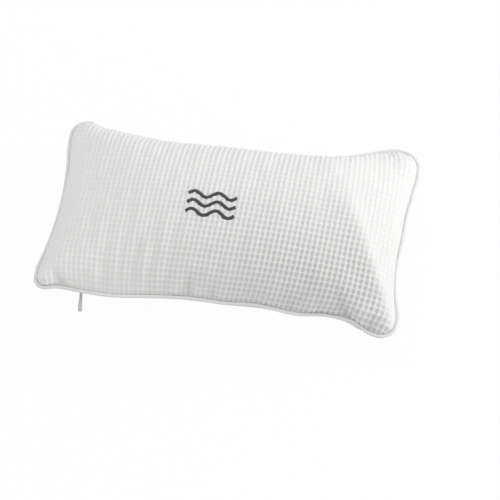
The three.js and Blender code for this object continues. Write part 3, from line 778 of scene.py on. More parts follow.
FRONT_FOLDS = (
    Fold((114, 14), (166, -78), 11, 2.6, 1.0),
    Fold((-19, -99), (-22, -68), 3.6, -3.4),
    Fold((-10, -99), (-12, -76), 3.8, 2.2),
    Fold((5, -99), (2, -78), 3.6, -1.9),
    Fold((-34, -99), (-36, -80), 6, 1.4),
    Fold((20, -99), (18, -80), 5, 1.0),
    Fold((62, -99), (57, -76), 5, 2.0),
    Fold((84, -99), (79, -78), 4, -2.0),
    Fold((104, -99), (97, -72), 5, 2.6),
    Fold((137, -99), (116, -66), 4.6, -4.4),
    Fold((152, -97), (146, -76), 4.5, 1.8),
    Fold((163, -100), (156, -80), 3.6, -3.4),
    Fold((-152, -99), (-163, -74), 4.4, -3.4),
    Fold((-168, -88), (-158, -64), 7, 2.0),
    Fold((-40, 90), (-96, 78), 5, -1.8),
    Fold((152, 94), (128, 60), 5, -1.4),
    Fold((170, 82), (108, 94), 11, 5.0),
    Fold((-158, 84), (-168, 70), 9, 2.0, 1.0),
    Fold((150, -88), (172, -86), 9, 3.0, 1.0),
)


@dataclass(frozen=True)
class CushionCloth:
    """The settled cloth of one side, which can be asked for its shape anywhere on the flat cut."""

    side: Side
    form: CushionForm
    cut: ClothCut
    sewing: Sewing
    grid: Array
    edge_blend: float = 7 * MM
    tree_spacing: float = 1.6 * MM

    def _weights(self, values: Array, axis: int) -> Array:
        """The spline's weights at flat places along an axis."""
        count, half = self.grid.shape[1 - axis], self.cut.half[axis]
        return spline_weights((values + half) / (2 * half) * (count - 1), count)

    @cached_property
    def _rim_shift(self) -> tuple[Array, Array]:
        """How far the smoothed cloth's edge lies from its seam, at bearings round the cut."""
        bearings, _, flat = (part[::4] for part in self.cut.edge())
        across, up = (self._weights(flat[:, axis], axis) for axis in (0, 1))
        there = np.einsum("nr,rcd,nc->nd", up, self.grid, across, optimize=True)
        _, turns = self.sewing.reach_and_turn(flat)
        return bearings, self.form.rim(self.side, turns) - there

    def shape(self, across: Array, up: Array) -> Array:
        """The cloth's outer face on a grid of lines of the flat cut.

        Args:
            across: Places of the lines along X.
            up: Places of the lines along Y.

        Returns:
            Points, as rows, columns and X, Y and Z.
        """
        columns, rows = self._weights(across, 0), self._weights(up, 1)
        points = np.einsum("ur,rcd,vc->uvd", rows, self.grid, columns, optimize=True)
        flat = flat_grid(across, up)
        bearings, shift = self._rim_shift
        angle = np.arctan2(flat[..., 1], flat[..., 0]) - self.cut.tip_bearing()
        bearing = np.mod(angle, 2 * math.pi)
        pull = 1 - smooth_step(-self.cut.distance(flat), 0, self.edge_blend)
        for axis in range(3):
            points[..., axis] += pull * np.interp(bearing, bearings, shift[:, axis])
        return points

    def tree(self) -> BVHTree:
        """The cloth's outer face without its weave, for finding what lies on or under it."""
        lines = [
            np.linspace(-half, half, round(2 * half / self.tree_spacing)) for half in self.cut.half
        ]
        part = cut_grid(self.cut.distance(flat_grid(*lines)))
        return BVHTree.FromPolygons(part.values(self.shape(*lines)).tolist(), part.faces)


@dataclass(frozen=True)
class Cover:
    """The cushion's cover, sewn from two waffle panels and blown out by the filling."""

    form: CushionForm = CushionForm()
    cut: ClothCut = ClothCut()
    front_stuffing: Stuffing = Stuffing()
    back_stuffing: Stuffing = Stuffing(push=0.0015 * MM, most_movement=3 * MM)
    points_per_cell: int = 2
    loose: float = 0.4 * MM
    loose_on_back: float = 0.2 * MM
    loose_spread: float = 22 * MM
    seam_width: float = 1 * MM
    fold_fade: float = 3 * MM
    cup_place: tuple[float, float] = (80 * MM, 33 * MM)
    eyelet_radius: float = 9 * MM
    slot_level: float = 13.6 * MM
    smoothing: int = 40
    seed: int = 5

    @cached_property
    def sewing(self) -> Sewing:
        """How the cut's edge is sewn to the seam."""
        return Sewing(self.cut, self.form.seam)

    def to_nearest_cup(self, points: Array) -> Array:
        """How far points lie from the axis of the nearest cup."""
        return np.linalg.norm(np.abs(points[..., :2]) - self.cup_place, axis=-1)

    def lines(self) -> list[Array]:
        """Places along X and along Y of the net that the cloth settles as."""
        counts = np.array([self.cut.columns, self.cut.rows]) * self.points_per_cell + 1
        return [np.linspace(-half, half, count) for half, count in zip(self.cut.half, counts)]

    def settled(self, side: Side) -> CushionCloth:
        """Lays the cloth of one side on its form and lets it settle.

        Args:
            side: Which side of the cushion.

        Returns:
            The settled cloth.
        """
        flat = flat_grid(*self.lines())
        reach, turns = self.sewing.reach_and_turn(flat.reshape(-1, 2))
        start = self.form.lay(side, turns, reach).reshape(flat.shape[:2] + (3,))
        depth = -self.cut.distance(flat)
        pinned = depth < self.seam_width
        if side is Side.BACK:
            pinned |= self.to_nearest_cup(start) < self.eyelet_radius
            pinned |= (start[..., 2] > self.slot_level) & (start[..., 1] < 0)
        for _ in range(self.smoothing):
            start = np.where(pinned[..., None], start, mean_of_neighbours(start))
        is_front = side is Side.FRONT
        loose = self.loose if is_front else self.loose_on_back
        start[..., 2] += np.where(pinned, 0, soft_noise(flat, self.loose_spread, self.seed) * loose)
        grid = start
        stuffing = self.front_stuffing if is_front else self.back_stuffing
        grid = stuffing.settle(start, flat, pinned, side)
        if is_front:
            rise = sum(fold.rise(flat) for fold in FRONT_FOLDS)
            rise *= smooth_step(depth, 0, self.fold_fade)
            grid += outward_normals(grid, side) * rise[..., None]
        return CushionCloth(side, self.form, self.cut, self.sewing, grid)


def add_node(
    tree: Tree, kind: str, inputs: Links | None = None, **settings: object
) -> bpy.types.Node:
    """Adds a node to a material or world.

    Args:
        tree: The node tree.
        kind: The node's type, such as ShaderNodeMath.
        inputs: A value or another node's socket for each input, by its name or number.
        settings: The node's own settings.

    Returns:
        The node.
    """
    node = tree.nodes.new(kind)
    for name, value in settings.items():
        setattr(node, name, value)
    for name, value in (inputs or {}).items():
        if isinstance(value, Socket):
            tree.links.new(value, node.inputs[name])
        else:
            node.inputs[name].default_value = value
    return node


def linear(code: str) -> tuple[float, float, float, float]:
    """Turns an sRGB colour into the linear values that a shader takes.

    Args:
        code: The colour as #RRGGBB.

    Returns:
        Red, green, blue and 1.
    """
    channels = [int(code[i:i + 2], 16) / 255 for i in (1, 3, 5)]
    parts = [c / 12.92 if c <= 0.04045 else ((c + 0.055) / 1.055) ** 2.4 for c in channels]
    return (parts[0], parts[1], parts[2], 1.0)


def bare_material(name: str) -> tuple[Material, Tree]:
    """A new material with an empty node tree.

    Args:
        name: The material's name.

    Returns:
        The material and its tree.
    """
    material = bpy.data.materials.new(name)
    material.use_nodes = True
    material.node_tree.nodes.clear()
    return material, material.node_tree


def wave_scale(period: float) -> float:
    """The scale of a wave texture for a period. At a scale of 1 its period is 2 pi / 20."""
    return 2 * math.pi / (20 * period)


@dataclass(frozen=True)
class Finish:
    """What all finishes share: a colour that drifts softly to a second one over a fine relief.

    The sizes of patches, yarns and grains are in millimetres, and the relief's depth in metres.
    """

    name: str
    colour: str
    shade: str
    roughness: float
    ior: float
    patch: float
    depth: float
    patch_detail: float = 3.0
    patch_fuzz: float = 0.55
    grain: float = 1.0
    detail: float = 2.0
    fuzz: float = 0.5
    curl: float = 0.0
    firmness: float = 1.0
    rougher_by: float = 0.0
    gloss: Gloss = ()

    def places(self, tree: Tree) -> Socket:
        """Places in the piece's own space, in millimetres."""
        scaled = {0: add_node(tree, "ShaderNodeTexCoord").outputs["Object"], 1: (1 / MM,) * 3}
        return add_node(tree, "ShaderNodeVectorMath", scaled, operation="MULTIPLY").outputs[0]

    def tint(self, tree: Tree, places: Socket) -> Socket:
        """The colour, in soft patches.

        Args:
            tree: The material's tree.
            places: The places in millimetres.

        Returns:
            The colour.
        """
        patches = add_node(
            tree, "ShaderNodeTexNoise",
            {"Vector": places, "Scale": 1 / self.patch, "Detail": self.patch_detail,
             "Roughness": self.patch_fuzz},
        )
        colours = {0: patches.outputs["Fac"], 6: linear(self.colour), 7: linear(self.shade)}
        return add_node(tree, "ShaderNodeMix", colours, data_type="RGBA").outputs[2]

    def relief(self, tree: Tree, places: Socket) -> Socket:
        """The height of the fine relief at the places, from 0 to 1: a soft grain."""
        grain = {"Vector": places, "Scale": 1 / self.grain, "Detail": self.detail,
                 "Roughness": self.fuzz, "Distortion": self.curl}
        return add_node(tree, "ShaderNodeTexNoise", grain).outputs["Fac"]

    def build(self) -> Material:
        """Makes the material.

        Returns:
            The material.
        """
        material, tree = bare_material(self.name)
        places = self.places(tree)
        height = self.relief(tree, places)
        bump = add_node(
            tree, "ShaderNodeBump",
            {"Height": height, "Distance": self.depth, "Strength": self.firmness},
        )
        inputs = {"Base Color": self.tint(tree, places), "Roughness": self.roughness,
                  "IOR": self.ior, "Normal": bump.outputs[0], **dict(self.gloss)}
        if self.rougher_by:
            wear = {0: height, 3: self.roughness, 4: self.roughness + self.rougher_by}
            inputs["Roughness"] = add_node(tree, "ShaderNodeMapRange", wear).outputs[0]
        shader = add_node(tree, "ShaderNodeBsdfPrincipled", inputs)
        add_node(tree, "ShaderNodeOutputMaterial", {"Surface": shader.outputs[0]})
        return material


@dataclass(frozen=True)
class ThreadFinish(Finish):
    """What finishes of threads share: bands that run across the threads of each way."""

    bands: tuple[tuple[str, float], ...] = ()
    band_waver: float = 0.5
    band_waver_scale: float = 1.0
    crossing: str = "ADD"

    def relief(self, tree: Tree, places: Socket) -> Socket:
        """The height of the threads of all ways together.

        Args:
            tree: The material's tree.
            places: The places in millimetres.

        Returns:
            The height.
        """
        heights = [
            add_node(
                tree, "ShaderNodeTexWave",
                {"Vector": places, "Scale": wave_scale(period), "Detail": 1.0,
                 "Distortion": self.band_waver, "Detail Scale": self.band_waver_scale},
                wave_type="BANDS", bands_direction=way, wave_profile="SIN",
            ).outputs["Fac"]
            for way, period in self.bands
        ]
        if len(heights) == 1:
            return heights[0]
        both = dict(enumerate(heights))
        return add_node(tree, "ShaderNodeMath", both, operation=self.crossing).outputs[0]


@dataclass(frozen=True)
class WovenCotton(ThreadFinish):
    """Bleached cotton, woven: matt and soft, with a faint sheen from the loose fibre ends.

    The panels carry a share of painted shade at each point: darker in the pits of their waffle weave,
    along the seam and in the creases of folds. Other pieces have none, so they keep the plain colour.
    """

    name: str = "Waffle-woven cotton"
    colour: str = "#F8F8F7"
    shade: str = "#F2F2F1"
    roughness: float = 0.92
    ior: float = 1.53
    patch: float = 9.0
    depth: float = 0.07 * MM
    firmness: float = 0.8
    gloss: Gloss = (("Sheen Weight", 0.25), ("Sheen Roughness", 0.45), ("Specular IOR Level", 0.25))
    bands: tuple[tuple[str, float], ...] = (("X", 0.55), ("Y", 0.55))
    band_waver: float = 0.6
    band_waver_scale: float = 0.8
    crossing: str = "MULTIPLY"
    grain: float = 0.55
    detail: float = 4.0
    fuzz: float = 0.6
    # The grey of the painted shade in the pits, along the seam and in the creases of folds.
    pit: str = "#D0D0CF"

    def places(self, tree: Tree) -> Socket:
        """Places on the cloth's own map, in millimetres."""
        return add_node(tree, "ShaderNodeUVMap", uv_map=CLOTH_MAP).outputs["UV"]

    def tint(self, tree: Tree, places: Socket) -> Socket:
        """The cloth's colour, mixed towards the grey of painted shade in the pits, along the seam and
        in creases.
        """
        # Painted shade: the panels' attribute mixes the colour towards the pit grey.
        pits = add_node(tree, "ShaderNodeAttribute", attribute_name=PAINTED_SHADE_ATTRIBUTE).outputs["Fac"]
        colours = {0: pits, 6: super().tint(tree, places), 7: linear(self.pit)}
        return add_node(tree, "ShaderNodeMix", colours, data_type="RGBA").outputs[2]

    def relief(self, tree: Tree, places: Socket) -> Socket:
        """Yarns that cross, with fuzz on them."""
        both = {0: super().relief(tree, places), 1: Finish.relief(self, tree, places)}
        return add_node(tree, "ShaderNodeMath", both, operation="ADD").outputs[0]


@dataclass(frozen=True)
class BondedLining(Finish):
    """Thin white non-woven polypropylene: fibres bonded in a grid of small dimples, matt."""

    name: str = "Bonded polypropylene lining"
    colour: str = "#EDEDEA"
    shade: str = "#E2E2DF"
    roughness: float = 0.85
    ior: float = 1.49
    patch: float = 6.0
    depth: float = 0.12 * MM
    gloss: Gloss = (("Specular IOR Level", 0.3),)
    grain: float = 0.4545
    detail: float = 5.0
    curl: float = 1.5
    dimple: float = 1.6

    def relief(self, tree: Tree, places: Socket) -> Socket:
        """Dimples, with fibres over them.

        Args:
            tree: The material's tree.
            places: The places in millimetres.

        Returns:
            The height.
        """
        cells = {"Vector": places, "Scale": 1 / self.dimple}
        dimples = add_node(tree, "ShaderNodeTexVoronoi", cells).outputs["Distance"]
        both = {0: dimples, 1: super().relief(tree, places)}
        return add_node(tree, "ShaderNodeMath", both, operation="ADD").outputs[0]


@dataclass(frozen=True)
class LooseFibre(Finish):
    """Crimped polyester fibre: white, lumpy and matt, with a soft sheen where fibres stand out.

    Real fibres are hundredths of a millimetre across. They are drawn coarser, to show.
    """

    name: str = "Crimped polyester fibre"
    colour: str = "#F7F7F5"
    shade: str = "#E9E9E7"
    roughness: float = 0.95
    ior: float = 1.57
    patch: float = 4.0
    depth: float = 0.5 * MM
    gloss: Gloss = (("Sheen Weight", 0.4), ("Specular IOR Level", 0.2))
    grain: float = 0.8
    detail: float = 8.0
    fuzz: float = 0.7
    curl: float = 2.5


@dataclass(frozen=True)
class WovenTape(ThreadFinish):
    """Polyester zip tape: a tight twill with fine slanting ribs and a slight gloss.

    The ribs stand about twice as far apart as in a real tape, or they wouldn't show.
    """

    name: str = "Twill-woven polyester"
    colour: str = "#F0F0EE"
    shade: str = "#E6E6E4"
    roughness: float = 0.72
    ior: float = 1.57
    patch: float = 5.0
    depth: float = 0.08 * MM
    gloss: Gloss = (("Sheen Weight", 0.15), ("Specular IOR Level", 0.4))
    bands: tuple[tuple[str, float], ...] = (("DIAGONAL", 0.7), ("Z", 0.42))
    band_waver: float = 0.4


@dataclass(frozen=True)
class MouldedPlastic(Finish):
    """An opaque moulded plastic: even in colour, satin, with the mould's faint grain."""

    patch: float = 3.0
    depth: float = 0.02 * MM
    rougher_by: float = 0.12
    grain: float = 0.35
    detail: float = 3.0


@dataclass(frozen=True)
class ClearPvc(Finish):
    """Soft clear PVC: glossy and see-through, faintly cloudy where it is thick."""

    name: str = "Soft clear PVC"
    colour: str = "#EEF4F5"
    shade: str = "#DCE5E8"
    roughness: float = 0.12
    ior: float = 1.53
    patch: float = 8.0
    depth: float = 0.06 * MM
    rougher_by: float = 0.12
    gloss: Gloss = (("Transmission Weight", 0.85),)
    grain: float = 5.0


@dataclass(frozen=True)
class RayonThread(ThreadFinish):
    """Rayon embroidery thread: dark grey, twisted, with the bright gloss of satin stitch."""

    name: str = "Twisted rayon thread"
    colour: str = "#4C4C4F"
    shade: str = "#3E3E41"
    roughness: float = 0.42
    ior: float = 1.53
    patch: float = 1.5
    depth: float = 0.05 * MM
    gloss: Gloss = (("Anisotropic", 0.5), ("Sheen Weight", 0.2))
    bands: tuple[tuple[str, float], ...] = (("DIAGONAL", 0.5),)


@dataclass(frozen=True)
class PaintedZinc(Finish):
    """Die-cast zinc under pale stoving paint: smooth and satin, thinner and duller on its edges."""

    name: str = "Painted zinc casting"
    colour: str = "#D9DADB"
    shade: str = "#B9BABC"
    roughness: float = 0.34
    ior: float = 1.5
    patch: float = 0.5556
    depth: float = 0.02 * MM
    grain: float = 0.5556
    gloss: Gloss = (("Coat Weight", 0.25), ("Coat Roughness", 0.2))
    edge_range: tuple[float, float] = (0.52, 0.6)

    def tint(self, tree: Tree, places: Socket) -> Socket:
        """The paint, worn to the duller shade along the edges.

        Args:
            tree: The material's tree.
            places: The places in millimetres.

        Returns:
            The colour.
        """
        edges = add_node(tree, "ShaderNodeNewGeometry").outputs["Pointiness"]
        low, high = self.edge_range
        worn = add_node(tree, "ShaderNodeMapRange", {0: edges, 1: low, 2: high}).outputs[0]
        colours = {0: worn, 6: linear(self.colour), 7: linear(self.shade)}
        return add_node(tree, "ShaderNodeMix", colours, data_type="RGBA").outputs[2]


def faced_out(points: Array, faces: Faces) -> Faces:
    """Turns the faces of a closed body over if they face in.

    Args:
        points: The body's points.
        faces: Its faces, which all run the same way.

    Returns:
        The faces, which face out.
    """
    corners = np.array([(f[0], a, b) for f in faces for a, b in zip(f[1:-1], f[2:])])
    a, b, c = (points[corners[:, k]] for k in range(3))
    volume = np.einsum("nd,nd->", a, np.cross(b, c))
    return faces if volume > 0 else [face[::-1] for face in faces]


def new_piece(
    name: str, body: Body, finish: Material, node: str | None = None
) -> Piece:
    """Makes an object and puts it in the place of the CAD node that it stands for.

    Args:
        name: The object's name.
        body: Its points and faces.
        finish: Its material.
        node: The CAD node. The studio's objects have none, and are shaded flat.

    Returns:
        The object, linked to the scene.
    """
    points, faces = body
    mesh = bpy.data.meshes.new(name)
    mesh.from_pydata(points.tolist(), [], faced_out(points, faces) if node else faces)
    mesh.validate()
    mesh.polygons.foreach_set("use_smooth", np.full(len(mesh.polygons), node is not None))
    mesh.materials.append(finish)
    piece = bpy.data.objects.new(name, mesh)
    bpy.context.scene.collection.objects.link(piece)
    if node:
        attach(piece, BODY_OF[node])
        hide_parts(node)
    log.info("%s: %d vertices, %d faces", name, len(mesh.vertices), len(mesh.polygons))
    return piece


def add_map(piece: Piece, name: str, corners: Array) -> None:
    """Gives a piece a UV map, with a place for each corner of each face in order."""
    layer = piece.data.uv_layers.new(name=name)
    layer.data.foreach_set("uv", np.asarray(corners, np.float32).ravel())


def loop_faces(sections: int, count: int, closed: bool) -> Faces:
    """The faces between the sections of a tube.

    Args:
        sections: How many sections there are.
        count: How many points each section has.
        closed: Whether the last section joins the first one. The tube has caps otherwise.

    Returns:
        The faces.
    """
    pairs = [(i * count, (i + 1) % sections * count) for i in range(sections - (not closed))]
    faces = [
        (here + k, here + (k + 1) % count, there + (k + 1) % count, there + k)
        for here, there in pairs for k in range(count)
    ]
    if not closed:
        faces += [tuple(range(count))[::-1], tuple(range((sections - 1) * count, sections * count))]
    return faces


def between_poles(first: Array, rings: Array, last: Array) -> Body:
    """A closed body of rings of points between two end points.

    Args:
        first: The point that the first ring closes to.
        rings: The rings, as rings, points round and X, Y and Z.
        last: The point that the last ring closes to.

    Returns:
        The points and faces of the body.
    """
    count, around = rings.shape[:2]
    start, end, edge = count * around, count * around + 1, (count - 1) * around
    faces = loop_faces(count, around, closed=False)[:-2]
    for k in range(around):
        after = (k + 1) % around
        faces += [(after, k, start), (edge + k, edge + after, end)]
    return np.concatenate([rings.reshape(-1, 3), first[None], last[None]]), faces


def turned(profile: Array, angles: Array, solid: bool) -> Body:
    """Turns a profile of radius and height about Z.

    Args:
        profile: The profile, or one for each angle.
        angles: The angles of its copies, once round.
        solid: Whether the profile starts and ends on the axis. It is a loop otherwise.

    Returns:
        The points and faces of the body.
    """
    profile = np.broadcast_to(profile, (len(angles),) + profile.shape[-2:])
    ring = profile[:, 1:-1] if solid else profile
    points = np.concatenate([ring[..., :1] * ways_at(angles)[:, None], ring[..., 1:]], axis=-1)
    if solid:
        low, high = (np.array([0, 0, profile[0, k, 1]]) for k in (0, -1))
        return between_poles(low, points.swapaxes(0, 1), high)
    return points.reshape(-1, 3), loop_faces(len(angles), ring.shape[1], closed=True)


def rounded(corners: Array, radius: float, steps: int = 4, closed: bool = True) -> Array:
    """Rounds the corners of a flat line.

    Args:
        corners: Its corners.
        radius: How far from each corner the rounding starts.
        steps: How many points stand for each corner.
        closed: Whether the line is a loop.

    Returns:
        The points of the rounded line.
    """
    share = np.linspace(0, 1, steps)[:, None]
    points = []
    for i, corner in enumerate(corners):
        if not closed and i in (0, len(corners) - 1):
            points.append(corner[None])
            continue
        beside = (corners[i - 1] - corner, corners[(i + 1) % len(corners)] - corner)
        low, high = (
            corner + way * min(radius / np.linalg.norm(way), MOST_ROUNDED) for way in beside
        )
        points.append(low * (1 - share) ** 2 + 2 * corner * share * (1 - share) + high * share**2)
    return np.concatenate(points)


def swept(places: Array, sections: list[Array], way: int = 0) -> Body:
    """A bar along an axis from its flat section at each place.

    Args:
        places: The places along the axis.
        sections: The sections, in the other two axes' order.
        way: Which axis it runs along.

    Returns:
        The points and faces of the body.
    """
    points = np.concatenate([np.insert(part, way, x, axis=1) for x, part in zip(places, sections)])
    return points, loop_faces(len(places), len(sections[0]), closed=False)


def tube(line: Array, ups: Array, across: Array, up: Array, sides: int) -> Body:
    """A tube along a line, closed at its ends.

    Args:
        line: The points of its middle.
        ups: A direction for each point, square to the line.
        across: The tube's half width at each point.
        up: Its half height at each point.
        sides: How many sides it has.

    Returns:
        The points and faces of the body.
    """
    along = unit(np.gradient(line, axis=0))
    side = unit(np.cross(along, ups))
    above = np.cross(side, along)
    angle = once_round(sides)
    points = (
        line[:, None]
        + side[:, None] * (across[:, None] * np.cos(angle))[..., None]
        + above[:, None] * (up[:, None] * np.sin(angle))[..., None]
    )
    return points.reshape(-1, 3), loop_faces(len(line), sides, closed=False)


def gathered(bodies: list[Body]) -> Body:
    """Gathers several bodies into one set of points and faces.

    Args:
        bodies: The points and faces of each.

    Returns:
        All the points and faces.
    """
    offsets = np.cumsum([0] + [len(points) for points, _ in bodies]).tolist()
    faces = [
        tuple(offset + v for v in face) for offset, (_, own) in zip(offsets, bodies) for face in own
    ]
    return np.concatenate([points for points, _ in bodies]), faces


def united(bodies: list[Body]) -> Body:
    """Joins overlapping closed bodies into one skin.

    Args:
        bodies: The points and faces of each.

    Returns:
        The points and faces of the one body.
    """
    helpers = []
    for points, faces in bodies:
        mesh = bpy.data.meshes.new("part")
        mesh.from_pydata(points.tolist(), [], faced_out(points, faces))
        helpers.append(bpy.data.objects.new("part", mesh))
        bpy.context.scene.collection.objects.link(helpers[-1])
    for other in helpers[1:]:
        joint = helpers[0].modifiers.new("joint", "BOOLEAN")
        joint.operation, joint.solver, joint.object = "UNION", "EXACT", other
    bpy.context.view_layer.update()
    whole = helpers[0].evaluated_get(bpy.context.evaluated_depsgraph_get()).to_mesh()
    points = np.array([tuple(vertex.co) for vertex in whole.vertices])
    faces = [tuple(face.vertices) for face in whole.polygons]
    for mesh in [helper.data for helper in helpers]:
        bpy.data.meshes.remove(mesh)
    return points, faces


@dataclass(frozen=True)
class StitchedWaves:
    """Three wavy lines in satin stitch: threads laid side by side across each line."""

    count: int = 3
    length: float = 46 * MM
    width: float = 3.4 * MM
    pitch: float = 9.5 * MM
    rise: float = 3 * MM
    crests: float = 2
    centre: tuple[float, float] = (-14 * MM, -9.5 * MM)
    pressed: float = 1.2 * MM
    height: float = 0.75 * MM
    height_power: float = 2.6
    sunk: float = 0.35 * MM
    sunk_power: float = 6
    spacing: float = 0.42 * MM
    slant: float = 0.35 * MM
    thread: float = 0.25 * MM
    thread_flatness: float = 0.85
    thread_points: int = 9
    thread_sides: int = 6
    uneven_length: float = 0.05
    uneven_place: float = 0.03 * MM
    uneven_thread: float = 0.06
    padding_lift: float = 0.1 * MM
    padding_shares: tuple[float, float] = (0.42, 0.62)
    padding_sides: int = 12
    samples: int = 900

    def middle(self, index: int, x: Array) -> Array:
        """The height along Y of a wave's middle line.

        Args:
            index: Which wave, from 0 at the top.
            x: Places along X.

        Returns:
            The Y at each place.
        """
        base = self.centre[1] - (index - (self.count - 1) / 2) * self.pitch
        share = (x - self.centre[0]) / self.length + 0.5
        return base + np.sin(share * self.crests * 2 * math.pi) * self.rise

    def pressing(self, points: Array) -> Array:
        """How far the stitches press the weave flat.

        Args:
            points: Points on the front.

        Returns:
            From 0 away from the stitches to 1 under them.
        """
        x, y = points[..., 0], points[..., 1]
        inside = np.clip(x, self.centre[0] - self.length / 2, self.centre[0] + self.length / 2)
        gap = np.min(
            [np.hypot(y - self.middle(i, inside), x - inside) for i in range(self.count)], axis=0
        )
        return 1 - smooth_step(gap, self.width / 2, self.width / 2 + self.pressed)

    def _surface(self, tree: BVHTree, places: Array) -> tuple[Array, Array]:
        """Places on the settled cloth and the ways out of it.

        Args:
            tree: The cloth.
            places: Points in X and Y.

        Returns:
            Points and normals.
        """
        hits = [tree.ray_cast(Vector((x, y, 1)), Vector((0, 0, -1)))[:2] for x, y in places]
        points, normals = np.array([[tuple(part) for part in hit] for hit in hits]).swapaxes(0, 1)
        return points, normals * np.sign(normals[:, 2:])

    def _stitches(self, index: int, tree: BVHTree) -> list[Body]:
        """The threads of one wave and the padding that they are sewn over.

        Args:
            index: Which wave, from 0 at the top.
            tree: The cloth under them.

        Returns:
            The points and faces of each.
        """
        rng = np.random.default_rng(index)
        fine = np.linspace(-0.5, 0.5, self.samples) * self.length + self.centre[0]
        path = np.stack([fine, self.middle(index, fine)], axis=-1)
        arcs = arc_lengths(path)
        count = round(arcs[-1] / self.spacing)
        even = np.interp((np.arange(count) + 0.5) * arcs[-1] / count, arcs, np.arange(len(fine)))
        middles = path[even.astype(int)]
        along = unit(np.gradient(path, axis=0))[even.astype(int)]
        padding, ups = self._surface(tree, middles[::3])
        wide, high = (np.full(len(padding), size * share) for size, share in
                      zip((self.width, self.height), self.padding_shares))
        bodies = [tube(padding + ups * self.padding_lift, ups, wide, high, self.padding_sides)]
        share = np.linspace(-1, 1, self.thread_points)
        arch = self.height * (1 - np.abs(share) ** self.height_power)
        arch -= self.sunk * np.abs(share) ** self.sunk_power
        for middle, way, out in zip(middles, along, left_of(along)):
            half = self.width / 2 * (1 + self.uneven_length * rng.normal())
            start = middle + way * rng.normal() * self.uneven_place
            line = start + share[:, None] * (out * half + way * self.slant)
            points, ups = self._surface(tree, line)
            size = np.full(len(share), self.thread) * (1 + self.uneven_thread * rng.normal())
            flat = size * self.thread_flatness
            bodies.append(tube(points + ups * arch[:, None], ups, size, flat, self.thread_sides))
        return bodies

    def build(self, cloth: CushionCloth, finish: Material) -> None:
        """Stitches the waves on the front.

        Args:
            cloth: The front panel's settled cloth.
            finish: The thread's material.
        """
        tree = cloth.tree()
        for number in range(1, self.count + 1):
            body = gathered(self._stitches(number - 1, tree))
            new_piece(f"satin_stitches_{number}", body, finish, f"stitched_wave_{number}")


